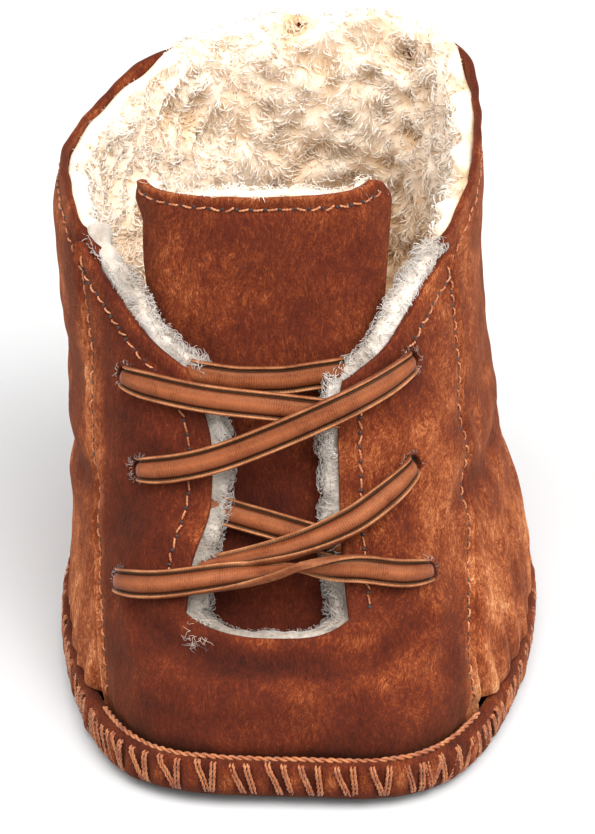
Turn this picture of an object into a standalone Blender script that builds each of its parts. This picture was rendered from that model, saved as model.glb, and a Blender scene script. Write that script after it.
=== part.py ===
"""A baby's soft sheepskin boot with an elastic lace, for the left foot.

Metres, +Z up. The toe points to -Y, the little toe side is +X, and the sole rests on the floor at
z = 0, with the origin under its middle. One table of level sections gives the last its shape, and
the upper, the sole's lip, the insole, the tongue and the lace all take their places from it.
"""

import math

import bmesh
import bpy
import numpy as np
from mathutils import Matrix, Vector

# Driving sizes
SOLE_LENGTH = 0.1150
SOLE_WIDTH = 0.0720
COLLAR_HEIGHT = 0.0800
UPPER_WALL = 0.0040
SEAM_STEP = 0.0007
SEAM_LAP = 0.0005
GAP = 0.0003

SOLE_THICKNESS = 0.0026
LIP_HEIGHT = 0.0066
LIP_WALL = 0.0022
LIP_ROUND = 0.0010
TOE_SPRING = 0.0020
HEEL_SPRING = 0.0008
ARCH_LIFT = 0.0006
SPRING_FADE = 0.0300
INSOLE_THICKNESS = 0.0040
INSOLE_ROUND = 0.0012

SEAM_HALF_WIDTH = 0.0268
NOTCH_HEIGHT = 0.0665
THROAT_FOOT_HEIGHT = 0.0210
THROAT_CORNER_RISE = 0.0024
THROAT_TOP_HEIGHT = 0.0515

TONGUE_THICKNESS = 0.0034
TONGUE_HEIGHT = 0.0780
TONGUE_FOOT_HEIGHT = 0.0150
TONGUE_HALF_WIDTH = 0.0220
TONGUE_BOW = 0.0024
TONGUE_CORNER = 0.0036

EYELET_RADIUS = 0.0014
LACE_WIDTH = 0.0042
LACE_THICKNESS = 0.0015

# The rim that the sole adds round the upper, and the size of the upper's foot inside it
RIM = SEAM_STEP + GAP + LIP_WALL
FOOT_LENGTH = SOLE_LENGTH - 2 * RIM
FOOT_HALF_WIDTH = SOLE_WIDTH / 2 - RIM
UPPER_FOOT_HEIGHT = SOLE_THICKNESS + GAP

# Where the sole lifts, in shares of SOLE_LENGTH from the toe: the toe's spring ends, the heel's
# begins, and the middle and half length of the arch
TOE_SPRING_END = 0.17
HEEL_SPRING_START = 0.92
ARCH_PLACE = 0.52
ARCH_REACH = 0.12

# The last, a row for each level. Height is a share of COLLAR_HEIGHT. Front, back and recede are
# shares of FOOT_LENGTH: where the toe and the heel stand, from the toe end of the foot, and how far
# the little toe's corner draws back. Toe, waist and heel are the half widths along the foot, and
# the leans how far the level moves towards +X there, all in shares of FOOT_HALF_WIDTH. Square is
# how square the toe is, less being squarer.
SECTION_COLUMNS = (
    "height", "front", "back", "toe", "waist", "heel", "square", "toe_lean", "waist_lean", "heel_lean", "recede"
)
SECTIONS = (
    (0.00, 0.000, 1.000, 0.895, 1.000, 0.820, 0.42, 0.04, 0.01, 0.00, 0.030),
    (0.09, 0.000, 1.004, 0.895, 1.004, 0.830, 0.42, 0.04, 0.01, 0.00, 0.030),
    (0.15, 0.007, 1.012, 0.890, 1.020, 0.850, 0.42, 0.02, 0.00, 0.00, 0.028),
    (0.21, 0.039, 1.012, 0.880, 1.018, 0.858, 0.42, 0.00, -0.02, 0.00, 0.026),
    (0.27, 0.088, 1.009, 0.873, 0.995, 0.858, 0.42, -0.02, -0.06, 0.00, 0.024),
    (0.39, 0.158, 0.994, 0.873, 0.960, 0.848, 0.42, -0.06, -0.12, -0.01, 0.016),
    (0.55, 0.228, 0.970, 0.880, 0.960, 0.836, 0.44, -0.10, -0.16, -0.02, 0.008),
    (0.71, 0.278, 0.962, 0.886, 0.970, 0.840, 0.47, -0.14, -0.19, -0.04, 0.000),
    (0.87, 0.308, 0.962, 0.892, 0.975, 0.850, 0.49, -0.19, -0.21, -0.05, 0.000),
    (1.00, 0.324, 0.970, 0.900, 0.985, 0.880, 0.52, -0.21, -0.21, -0.06, 0.000),
    (1.20, 0.349, 0.985, 0.905, 1.000, 0.900, 0.56, -0.22, -0.21, -0.06, 0.000),
)
WAIST_PLACE = 0.46
HEEL_SQUARE = 0.68

# The throat's edges, in shares of COLLAR_HEIGHT and SEAM_HALF_WIDTH: height, left (-X), right (+X)
THROAT_EDGES = (
    (0.28, -0.470, 0.385),
    (0.36, -0.430, 0.370),
    (0.46, -0.345, 0.370),
    (0.55, -0.350, 0.370),
    (0.65, -0.440, 0.430),
    (0.72, -0.560, 0.560),
)

# The collar's edge from the side seam to the heel, in shares of the half round and of the rise
# from NOTCH_HEIGHT to COLLAR_HEIGHT: place, left, right
COLLAR_EDGE = (
    (0.00, 0.00, 0.00),
    (0.12, 0.18, 0.25),
    (0.45, 0.36, 0.70),
    (0.75, 0.66, 1.02),
    (1.00, 1.00, 1.00),
)

# The tongue's half width, in shares of COLLAR_HEIGHT and TONGUE_HALF_WIDTH: height, half width
TONGUE_SIDES = ((0.18, 0.64), (0.35, 0.66), (0.60, 0.80), (0.80, 0.96), (1.00, 1.00))

# Eyelets, in shares of SEAM_HALF_WIDTH from the middle and of COLLAR_HEIGHT: name, aside, height
EYELETS = {
    "left_top": (-0.76, 0.642),
    "left_middle": (-0.70, 0.495),
    "left_low": (-0.85, 0.303),
    "right_top": (0.76, 0.688),
    "right_middle": (0.74, 0.515),
    "right_low": (0.80, 0.338),
}

# The lace's runs, each a row of places from end to end: aside in SEAM_HALF_WIDTH from the middle,
# height in COLLAR_HEIGHT, and lift above the flaps' face in LACE_THICKNESS. A lift below -3 lies on
# the tongue. Where runs cross they bite into each other a little, so that they join.
LACE_RUNS = {
    "lace_upper": (
        ((-0.76, 0.642, 0.0), (-0.28, 0.630, 0.0), (0.10, 0.622, 0.0), (0.34, 0.612, -0.6)),
        ((-0.70, 0.495, 0.0), (-0.30, 0.530, 0.2), (0.06, 0.578, 0.9), (0.30, 0.615, 0.9), (0.76, 0.688, 0.0)),
        ((-0.29, 0.664, -0.9), (-0.14, 0.660, -2.2), (0.04, 0.662, -3.0), (0.28, 0.675, -3.1)),
    ),
    "lace_lower": (
        ((0.74, 0.515, 0.0), (0.42, 0.440, 0.0), (0.12, 0.400, -0.4), (-0.28, 0.372, -0.9)),
        ((-0.85, 0.303, 0.0), (-0.32, 0.345, 0.0), (0.06, 0.360, 0.3), (0.42, 0.366, 0.2), (0.80, 0.338, 0.0)),
        ((-0.27, 0.450, -3.1), (-0.02, 0.432, -2.2), (0.22, 0.414, -0.9)),
    ),
}

# How finely the forms are faceted
THROAT_STEPS = 4
FLAP_STEPS = 6
BACK_STEPS = 20
VAMP_ROWS = 7
SHAFT_ROWS = 11
TONGUE_COLUMNS = 12
TONGUE_ROWS = 14
CORNER_ROWS = 3
LACE_STATIONS = 12
LEVELS = 97
SHARES = 481


def smooth(places, values, place):
    """Monotone curve through a table's column, held level past both ends."""
    places = np.asarray(places, float)
    values = np.asarray(values, float)
    place = np.clip(np.asarray(place, float), places[0], places[-1])
    run = np.diff(places)
    slope = np.diff(values) / run
    bend = np.zeros(len(places))
    same_way = slope[:-1] * slope[1:] > 0
    bend[1:-1][same_way] = 2 * (slope[:-1] * slope[1:])[same_way] / (slope[:-1] + slope[1:])[same_way]
    bend[0], bend[-1] = slope[0], slope[-1]
    part = np.clip(np.searchsorted(places, place) - 1, 0, len(run) - 1)
    t = (place - places[part]) / run[part]
    return (
        (1 + 2 * t) * (1 - t) ** 2 * values[part]
        + t * (1 - t) ** 2 * run[part] * bend[part]
        + t * t * (3 - 2 * t) * values[part + 1]
        + t * t * (t - 1) * run[part] * bend[part + 1]
    )


def table_value(table, number, place):
    """A column of a table of rows, read at a place of its first column."""
    return smooth([row[0] for row in table], [row[number] for row in table], place)


def section(height):
    """One level of the last, as x and y at equal shares round it from heel over toe to heel."""
    row = {
        name: float(table_value(SECTIONS, number, height / COLLAR_HEIGHT))
        for number, name in enumerate(SECTION_COLUMNS)
    }
    turn = np.linspace(-math.pi, math.pi, 2 * SHARES - 1)
    along = (1 - np.cos(turn)) / 2
    half = smooth((0.0, WAIST_PLACE, 1.0), (row["toe"], row["waist"], row["heel"]), along)
    square = row["square"] + (HEEL_SQUARE - row["square"]) * along * along * (3 - 2 * along)
    x = np.sign(turn) * half * np.abs(np.sin(turn)) ** square
    little_toe = (0.5 + 0.5 * x / row["toe"]) * (1 - along) ** 3
    y = row["front"] + (row["back"] - row["front"]) * along + row["recede"] * little_toe
    lean = smooth((0.0, WAIST_PLACE, 1.0), (row["toe_lean"], row["waist_lean"], row["heel_lean"]), along)
    x = FOOT_HALF_WIDTH * (x + lean)
    y = FOOT_LENGTH * (y - 0.5)
    steps = np.hypot(np.diff(x), np.diff(y))
    way = np.concatenate(([0.0], np.cumsum(steps)))
    toe = way[SHARES - 1]
    share = np.where(way < toe, way / toe - 1, (way - toe) / (way[-1] - toe))
    even = np.linspace(-1, 1, SHARES)
    return np.stack((np.interp(even, share, x), np.interp(even, share, y)), axis=1)


LEVEL_HEIGHTS = np.linspace(0.0, SECTIONS[-1][0] * COLLAR_HEIGHT, LEVELS)
LAST = np.array([section(height) for height in LEVEL_HEIGHTS])


def on_level(share, height):
    """Point of the last at a share round it: 0 at the toe's middle, 1 and -1 at the heel's."""
    share, height = np.broadcast_arrays(np.asarray(share, float), np.asarray(height, float))
    column = ((share + 1) % 2) / 2 * (SHARES - 1)
    level = np.clip(height / LEVEL_HEIGHTS[-1], 0, 1) * (LEVELS - 1)
    i = np.minimum(column.astype(int), SHARES - 2)
    j = np.minimum(level.astype(int), LEVELS - 2)
    s = (column - i)[..., None]
    t = (level - j)[..., None]
    low = LAST[j, i] * (1 - s) + LAST[j, i + 1] * s
    high = LAST[j + 1, i] * (1 - s) + LAST[j + 1, i + 1] * s
    return np.concatenate((low * (1 - t) + high * t, height[..., None]), axis=-1)


def outward(share, height):
    """Unit normal of the last, pointing out."""
    aside, above = 0.012, 0.0015
    across = on_level(share + aside, height) - on_level(share - aside, height)
    up = on_level(share, height + above) - on_level(share, np.maximum(height - above, 0.0))
    normal = np.cross(across, up)
    return normal / np.linalg.norm(normal, axis=-1, keepdims=True)


def spring(y):
    """How far the sole lifts off the floor: at the toe, under the arch and at the heel's end."""
    place = y / SOLE_LENGTH + 0.5
    toe = TOE_SPRING * np.clip(1 - place / TOE_SPRING_END, 0, 1) ** 2
    heel = HEEL_SPRING * np.clip((place - HEEL_SPRING_START) / (1 - HEEL_SPRING_START), 0, 1) ** 2
    arch = ARCH_LIFT * np.clip(1 - ((place - ARCH_PLACE) / ARCH_REACH) ** 2, 0, 1)
    return toe + heel + arch


def on_last(share, height, out=0.0, level=False):
    """Point at a distance out from the last, square to it or level, lifted as the sole springs."""
    normal = outward(share, height)
    if level:
        normal[..., 2] = 0.0
        normal /= np.linalg.norm(normal, axis=-1, keepdims=True)
    point = on_level(share, height) + np.asarray(out, float)[..., None] * normal
    fade = np.clip(1 - point[..., 2] / SPRING_FADE, 0, 1) ** 2
    point[..., 2] += spring(point[..., 1]) * fade
    return point


def front_share(aside, height):
    """Share round the last where its front lies this far to the side of its middle line."""
    side = 1 if aside >= 0 else -1
    shares = side * np.linspace(0, 0.45, 181)
    x = side * on_level(shares, height)[:, 0]
    lean = side * float(on_level(0.0, height)[0])
    widest = int(np.argmax(x)) + 1
    return float(np.interp(abs(aside) + lean, x[:widest], shares[:widest] * side)) * side


def half_round(height, side):
    """Length of one half of a level, from toe to heel."""
    points = on_level(side * np.linspace(0, 1, 61), height)
    return float(np.linalg.norm(np.diff(points, axis=0), axis=1).sum())


def throat_edge(height, side):
    """How far from the middle line the throat's edge runs, signed."""
    return SEAM_HALF_WIDTH * float(table_value(THROAT_EDGES, 1 if side < 0 else 2, height / COLLAR_HEIGHT))


def level_columns(height):
    """Places round a level, from the toe's middle to the heel's, for each side: share and rise."""
    halves = {}
    for side in (-1, 1):
        throat = front_share(throat_edge(max(height, THROAT_FOOT_HEIGHT), side), height)
        seam = front_share(side * SEAM_HALF_WIDTH, height)
        lapped = seam + side * SEAM_LAP / half_round(height, side)
        vamp = [(share, SEAM_STEP) for share in np.linspace(0, throat, THROAT_STEPS + 1)]
        flap = [(share, SEAM_STEP) for share in np.linspace(throat, seam, FLAP_STEPS + 1)[1:]]
        back = [(share, 0.0) for share in np.linspace(lapped, side, BACK_STEPS + 1)]
        halves[side] = vamp + flap + back
    return halves[1] + halves[-1][-2:0:-1]


COLUMN_COUNT = 2 * (THROAT_STEPS + FLAP_STEPS + BACK_STEPS + 1)


def collar_height(column):
    """Height of the upper's top edge at a column: the flap's slope, then the collar."""
    side = 1 if column <= COLUMN_COUNT // 2 else -1
    step = min(column, COLUMN_COUNT - column)
    on_flap = (step - THROAT_STEPS) / FLAP_STEPS
    if on_flap <= 1:
        return THROAT_TOP_HEIGHT + (NOTCH_HEIGHT - THROAT_TOP_HEIGHT) * max(on_flap, 0.0)
    place = (step - THROAT_STEPS - FLAP_STEPS - 1) / BACK_STEPS
    rise = float(table_value(COLLAR_EDGE, 1 if side < 0 else 2, place))
    return NOTCH_HEIGHT + (COLLAR_HEIGHT - NOTCH_HEIGHT) * rise


def split_height(column):
    """Height of the row that runs along the throat's foot and on round the upper."""
    step = min(column, COLUMN_COUNT - column)
    corner = min(step / THROAT_STEPS, 1.0)
    return THROAT_FOOT_HEIGHT + THROAT_CORNER_RISE * corner**3


def upper_rows():
    """Rows of the upper from foot to collar, as share, height and rise; None over the throat."""
    rows = []
    for row in range(VAMP_ROWS + SHAFT_ROWS + 1):
        points = []
        for column in range(COLUMN_COUNT):
            low = split_height(column)
            if row <= VAMP_ROWS:
                height = UPPER_FOOT_HEIGHT + (low - UPPER_FOOT_HEIGHT) * row / VAMP_ROWS
            else:
                height = low + (collar_height(column) - low) * (row - VAMP_ROWS) / SHAFT_ROWS
            over_throat = min(column, COLUMN_COUNT - column) < THROAT_STEPS
            if over_throat and row > VAMP_ROWS:
                points.append(None)
                continue
            share, rise = level_columns(height)[column]
            points.append((share, height, rise))
        rows.append(points)
    return rows


def material(name, colour, roughness):
    """A plain finish in the piece's own colour."""
    finish = bpy.data.materials.new(name)
    finish.use_nodes = True
    shader = finish.node_tree.nodes["Principled BSDF"]
    shader.inputs["Base Color"].default_value = (*colour, 1.0)
    shader.inputs["Roughness"].default_value = roughness
    shader.inputs["Metallic"].default_value = 0.0
    return finish


def finish_object(name, mesh, collection, finish):
    """An object from a bmesh, smooth over its gentle edges."""
    bmesh.ops.recalc_face_normals(mesh, faces=mesh.faces)
    data = bpy.data.meshes.new(name)
    mesh.to_mesh(data)
    mesh.free()
    data.materials.append(finish)
    data.shade_smooth()
    data.set_sharp_from_angle(angle=math.radians(40))
    piece = bpy.data.objects.new(name, data)
    collection.objects.link(piece)
    return piece


def walled_mesh(outer, inner, closed):
    """Closed wall between two sheets of points in the same rows, open where a point is None."""
    mesh = bmesh.new()
    front = [[None if point is None else mesh.verts.new(point) for point in row] for row in outer]
    back = [[None if point is None else mesh.verts.new(point) for point in row] for row in inner]
    partner = {
        a: b for row, other in zip(front, back) for a, b in zip(row, other) if a is not None
    }
    count = len(outer[0])
    for low, high in zip(front, front[1:]):
        for i in range(count if closed else count - 1):
            j = (i + 1) % count
            corners = (low[i], low[j], high[j], high[i])
            if None not in corners:
                mesh.faces.new(corners)
    sheet = list(mesh.faces)
    rim = [edge for edge in mesh.edges if len(edge.link_faces) == 1]
    for face in sheet:
        mesh.faces.new([partner[vertex] for vertex in reversed(face.verts)])
    for edge in rim:
        a, b = edge.verts
        mesh.faces.new((b, a, partner[a], partner[b]))
    return mesh


def stacked_mesh(rings):
    """Closed body from rings, each end closed by strips across from side to side."""
    mesh = bmesh.new()
    rows = [[mesh.verts.new(point) for point in ring] for ring in rings]
    count = len(rings[0])
    for low, high in zip(rows, rows[1:]):
        for i in range(count):
            j = (i + 1) % count
            mesh.faces.new((low[i], low[j], high[j], high[i]))
    for row in (rows[0], rows[-1]):
        for i in range(count // 2):
            corners = [row[i], row[i + 1], row[(count - i - 1) % count], row[(count - i) % count]]
            mesh.faces.new(list(dict.fromkeys(corners)))
    return mesh


def make_upper(collection, finish):
    """Vamp, flaps and quarter as one wall, the vamp and flaps a step prouder at the side seams."""
    rows = upper_rows()
    outer = [[p and on_last(p[0], p[1], p[2]) for p in row] for row in rows]
    inner = [[p and on_last(p[0], p[1], -UPPER_WALL) for p in row] for row in rows]
    return finish_object("upper", walled_mesh(outer, inner, closed=True), collection, finish)


def eyelet_share(name):
    """Share and height of an eyelet on the last."""
    aside, height = EYELETS[name]
    height *= COLLAR_HEIGHT
    return front_share(aside * SEAM_HALF_WIDTH, height), height


def cut_eyelets(upper, cutters):
    """Six round holes punched square through the flaps."""
    for name in EYELETS:
        share, height = eyelet_share(name)
        middle = Vector(on_last(share, height, -UPPER_WALL / 2))
        mesh = bmesh.new()
        bmesh.ops.create_cone(
            mesh, cap_ends=True, segments=12,
            radius1=EYELET_RADIUS, radius2=EYELET_RADIUS, depth=2.5 * UPPER_WALL,
        )
        data = bpy.data.meshes.new("eyelet_" + name)
        mesh.to_mesh(data)
        mesh.free()
        cutter = bpy.data.objects.new("eyelet_" + name, data)
        cutter.location = middle
        cutter.rotation_euler = Vector(outward(share, height)).to_track_quat("Z", "Y").to_euler()
        cutter.hide_render = True
        cutter.display_type = "WIRE"
        cutters.objects.link(cutter)
        cut = upper.modifiers.new("eyelet_" + name, "BOOLEAN")
        cut.operation = "DIFFERENCE"
        cut.solver = "EXACT"
        cut.object = cutter


def ring_at(out, height, even=False):
    """Ring round the foot at a distance out from the upper's face, or from the vamp's all round."""
    columns = level_columns(height)
    share = np.array([column[0] for column in columns])
    rise = np.array([SEAM_STEP if even else column[1] for column in columns])
    return on_last(share, np.full(len(columns), height), rise + out, level=True)


def make_sole(collection, finish):
    """Soft outsole whose edge is turned up round the upper's foot as a rounded lip."""
    outside = GAP + LIP_WALL
    outer_profile = (
        (outside - 4 * LIP_ROUND, 0.0),
        (outside - 1.5 * LIP_ROUND, 0.0),
        (outside - 0.4 * LIP_ROUND, 0.5 * LIP_ROUND),
        (outside, 1.6 * LIP_ROUND),
        (outside, LIP_HEIGHT - LIP_ROUND),
        (outside - 0.35 * LIP_ROUND, LIP_HEIGHT - 0.3 * LIP_ROUND),
        (outside - LIP_ROUND, LIP_HEIGHT),
    )
    inner_profile = (
        (GAP + 0.3 * LIP_ROUND, LIP_HEIGHT - 0.2 * LIP_ROUND),
        (GAP, LIP_HEIGHT - 0.7 * LIP_ROUND),
        (GAP, SOLE_THICKNESS),
        (GAP - UPPER_WALL, SOLE_THICKNESS),
    )
    rings = [ring_at(out, height, even=True) for out, height in outer_profile]
    rings += [ring_at(out, height) for out, height in inner_profile]
    return finish_object("sole", stacked_mesh(rings), collection, finish)


def make_insole(collection, finish):
    """Fleece insole that fills the upper's foot from wall to wall."""
    edge = -UPPER_WALL - SEAM_STEP - GAP
    top = UPPER_FOOT_HEIGHT + INSOLE_THICKNESS
    profile = (
        (edge - INSOLE_ROUND, UPPER_FOOT_HEIGHT),
        (edge, UPPER_FOOT_HEIGHT + INSOLE_ROUND),
        (edge, top - INSOLE_ROUND),
        (edge - INSOLE_ROUND, top),
    )
    rings = [ring_at(out, height) for out, height in profile]
    return finish_object("insole", stacked_mesh(rings), collection, finish)


def tongue_side(height, side):
    """Share round the last where the tongue's edge runs, with its top corner rounded off."""
    half = TONGUE_HALF_WIDTH * float(table_value(TONGUE_SIDES, 1, height / COLLAR_HEIGHT))
    corner = TONGUE_CORNER if side > 0 else TONGUE_CORNER / 2
    above = np.clip((height - TONGUE_HEIGHT) / corner + 1, 0, 1)
    return front_share(side * (half - corner * (1 - math.sqrt(1 - above * above))), height)


def make_tongue(collection, finish):
    """Tongue behind the flaps, from under the vamp to above them, its sides bowed back at the top."""
    straight = np.linspace(TONGUE_FOOT_HEIGHT, TONGUE_HEIGHT - TONGUE_CORNER, TONGUE_ROWS)
    turn = np.linspace(0, math.pi / 2, CORNER_ROWS + 1)[1:]
    rounded = TONGUE_HEIGHT - TONGUE_CORNER * (1 - np.sin(turn))
    across = np.linspace(-1, 1, TONGUE_COLUMNS + 1)
    outer, inner = [], []
    for height in (*straight, *rounded):
        share = np.interp(across, (-1, 1), (tongue_side(height, -1), tongue_side(height, 1)))
        above_throat = np.clip((height - THROAT_FOOT_HEIGHT) / (TONGUE_HEIGHT - THROAT_FOOT_HEIGHT), 0, 1)
        face = -UPPER_WALL - GAP - TONGUE_BOW * across**2 * above_throat**2
        level = np.full(len(across), height)
        outer.append(on_last(share, level, face))
        inner.append(on_last(share, level, face - TONGUE_THICKNESS))
    return finish_object("tongue", walled_mesh(outer, inner, closed=False), collection, finish)


def lace_mesh(places):
    """One flat run of lace laid along its places, its broad face turned out from the last."""
    places = np.array(places)
    flat = places[:, :2] * (SEAM_HALF_WIDTH, COLLAR_HEIGHT)
    way = np.concatenate(([0.0], np.cumsum(np.linalg.norm(np.diff(flat, axis=0), axis=1))))
    stations = np.linspace(0, way[-1], LACE_STATIONS)
    aside, height, lift = (smooth(way, column, stations) for column in places.T)
    height = height * COLLAR_HEIGHT
    share = np.array([front_share(a * SEAM_HALF_WIDTH, h) for a, h in zip(aside, height)])
    out = SEAM_STEP + GAP + LACE_THICKNESS * (lift + 0.5)
    middle = on_last(share, height, out)
    facing = outward(share, height)
    along = np.gradient(middle, axis=0)
    across = np.cross(facing, along)
    across /= np.linalg.norm(across, axis=1, keepdims=True)
    half, thick = LACE_WIDTH / 2, LACE_THICKNESS / 2
    edge = half - thick
    corners = ((-half, -thick / 2), (-half, thick / 2), (-edge, thick), (edge, thick))
    corners += tuple((-a, -b) for a, b in corners)
    mesh = bmesh.new()
    rings = [[mesh.verts.new(m + a * c + b * f) for a, b in corners] for m, c, f in zip(middle, across, facing)]
    for low, high in zip(rings, rings[1:]):
        for i in range(len(corners)):
            j = (i + 1) % len(corners)
            mesh.faces.new((low[i], low[j], high[j], high[i]))
    mesh.faces.new(rings[0])
    mesh.faces.new(rings[-1])
    return mesh


def make_lace(name, collection, cutters, finish):
    """The runs of one crossing, joined where they pass over each other."""
    first, *others = LACE_RUNS[name]
    piece = finish_object(name, lace_mesh(first), collection, finish)
    for number, places in enumerate(others, start=2):
        run = finish_object(f"{name}_run_{number}", lace_mesh(places), cutters, finish)
        run.hide_render = True
        run.display_type = "WIRE"
        join = piece.modifiers.new(run.name, "BOOLEAN")
        join.operation = "UNION"
        join.solver = "EXACT"
        join.object = run
    return piece


def centre(pieces, cutters):
    """Moves everything so that the origin lies on the floor under the middle of the boot."""
    corners = np.array([vertex.co for piece in pieces for vertex in piece.data.vertices])
    middle = (corners.min(axis=0) + corners.max(axis=0)) / 2
    shift = Matrix.Translation((-middle[0], -middle[1], 0.0))
    for thing in (*pieces, *cutters):
        thing.data.transform(thing.matrix_basis)
        thing.matrix_basis = Matrix.Identity(4)
        thing.data.transform(shift)


def build():
    """Clears the scene and makes the boot's pieces."""
    for thing in list(bpy.data.objects):
        bpy.data.objects.remove(thing, do_unlink=True)
    boot = bpy.data.collections.new("baby_boot")
    cutters = bpy.data.collections.new("cutters")
    bpy.context.scene.collection.children.link(boot)
    bpy.context.scene.collection.children.link(cutters)
    suede = material("suede", (0.29, 0.095, 0.03), 0.9)
    fleece = material("fleece", (0.80, 0.68, 0.50), 0.95)
    elastic = material("elastic", (0.24, 0.10, 0.05), 0.5)
    upper = make_upper(boot, suede)
    cut_eyelets(upper, cutters)
    make_sole(boot, suede)
    make_insole(boot, fleece)
    make_tongue(boot, suede)
    for name in LACE_RUNS:
        make_lace(name, boot, cutters, elastic)
    centre(boot.objects, cutters.objects)


build()
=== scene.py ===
"""The looks of a baby's sheepskin boot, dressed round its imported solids.

Metres, in the frame's own axes: the toe points to -Y, the little toe side is +X and the floor is
z = 0. The skins, the wool, the elastic and the threads all take their places from the same last,
the table of level sections that gives the solids their shape.
"""

import math

import bmesh
import bpy
import numpy as np
from mathutils import Matrix, Vector


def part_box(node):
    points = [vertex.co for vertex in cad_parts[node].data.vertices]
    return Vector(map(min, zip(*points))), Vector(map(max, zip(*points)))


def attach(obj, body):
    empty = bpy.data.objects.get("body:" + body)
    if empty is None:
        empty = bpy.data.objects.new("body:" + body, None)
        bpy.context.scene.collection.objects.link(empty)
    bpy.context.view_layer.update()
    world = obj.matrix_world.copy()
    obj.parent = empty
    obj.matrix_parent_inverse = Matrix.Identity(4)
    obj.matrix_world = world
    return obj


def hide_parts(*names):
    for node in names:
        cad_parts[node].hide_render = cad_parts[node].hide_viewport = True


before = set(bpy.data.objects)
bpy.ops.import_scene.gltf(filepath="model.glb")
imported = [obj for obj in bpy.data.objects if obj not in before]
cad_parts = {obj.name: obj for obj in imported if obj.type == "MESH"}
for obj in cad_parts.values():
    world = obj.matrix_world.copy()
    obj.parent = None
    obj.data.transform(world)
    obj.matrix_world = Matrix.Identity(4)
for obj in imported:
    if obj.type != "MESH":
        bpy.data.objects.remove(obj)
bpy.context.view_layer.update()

# The boot's driving sizes
SOLE_LENGTH = 0.1150
SOLE_WIDTH = 0.0720
COLLAR_HEIGHT = 0.0800
UPPER_WALL = 0.0040
SEAM_STEP = 0.0007
GAP = 0.0003
SOLE_THICKNESS = 0.0026
LIP_HEIGHT = 0.0066
LIP_WALL = 0.0022
LIP_ROUND = 0.0010
TOE_SPRING = 0.0020
HEEL_SPRING = 0.0008
ARCH_LIFT = 0.0006
SPRING_FADE = 0.0300
INSOLE_THICKNESS = 0.0040
SEAM_HALF_WIDTH = 0.0268
NOTCH_HEIGHT = 0.0665
THROAT_FOOT_HEIGHT = 0.0210
THROAT_CORNER_RISE = 0.0024
THROAT_TOP_HEIGHT = 0.0515
TONGUE_THICKNESS = 0.0034
TONGUE_HEIGHT = 0.0780
TONGUE_FOOT_HEIGHT = 0.0150
TONGUE_HALF_WIDTH = 0.0220
TONGUE_BOW = 0.0024
TONGUE_CORNER = 0.0036
EYELET_RADIUS = 0.0014
LACE_WIDTH = 0.0042
LACE_THICKNESS = 0.0015
RIM = SEAM_STEP + GAP + LIP_WALL
FOOT_LENGTH = SOLE_LENGTH - 2 * RIM
FOOT_HALF_WIDTH = SOLE_WIDTH / 2 - RIM
UPPER_FOOT_HEIGHT = SOLE_THICKNESS + GAP
TOE_SPRING_END = 0.17
HEEL_SPRING_START = 0.92
ARCH_PLACE = 0.52
ARCH_REACH = 0.12

# Sizes that only the looks need: the skin's own thickness, how far the wool stands past its cut
# edges, and the threads
SUEDE = 0.0011
WOOL_OVER_FLAP = 0.0017
WOOL_OVER_COLLAR = -0.0013
WOOL_OVER_HEEL = 0.0012
HEEL_DIP = 0.0028
WOOL_OVER_TONGUE = 0.0014
NOTCH_ROUND = 0.0005
FLAP_CORNER_LIFT = {-1: 0.0024, 1: 0.0018}
FLAP_EDGE_SWELL = {-1: 0.0014, 1: 0.0024}
THREAD = 0.00036
STITCH_PITCH = 0.0021
STITCH_LENGTH = 0.0016
STITCH_SHAPES = ((1.0, 1.0, 0.0001), (0.85, 1.2, 0.0003), (1.06, 0.6, 0.00005), (0.9, 1.4, -0.0002))
FLAP_STITCH_INSET = 0.0029
SEAM_STITCH_INSET = 0.0013
COLLAR_STITCH_INSET = 0.0026
TONGUE_STITCH_INSET = 0.0016
TONGUE_SPREAD = {-1: 0.0016, 1: 0.0024}
TONGUE_SPREAD_START = {-1: 0.0720, 1: 0.0580}
TONGUE_TILT = 0.0011
WHIP_PITCH = 0.0050
CROWDED_PITCH = 0.0019
CROWDED_STRETCHES = ((-0.046, -0.027), (0.020, 0.048))
CROWDED_LEAN = 0.0013
LEFT_BUNDLE = (-0.0014, 0.0005)
RIGHT_BUNDLE = (0.0009, 0.0015)
WHIP_STRANDS = 2
WHIP_PLY = (0.00015, 0.00014, 0.0015)
WHIP_STRANDS_APART = 0.00050
FLARE_RUN = 0.0035
FLARE_LEAD = 0.0014
FLARE_HEIGHT = 0.009
SEAM_TUCK = 0.0040
LUMP_SIZE = 0.0085
LUMP_DEPTH = 0.0011
LONG_LOCK = (0.0019, 0.00030)
SHORT_LOCK = (0.0016, 0.00015)
LOCKS_PER_AREA = {"flap": 4.6e6, "tongue": 2.0e6, "insole": 0.28e6, "collar": 1.15e6}
STITCH_DEPTH = 0.0003

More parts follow.
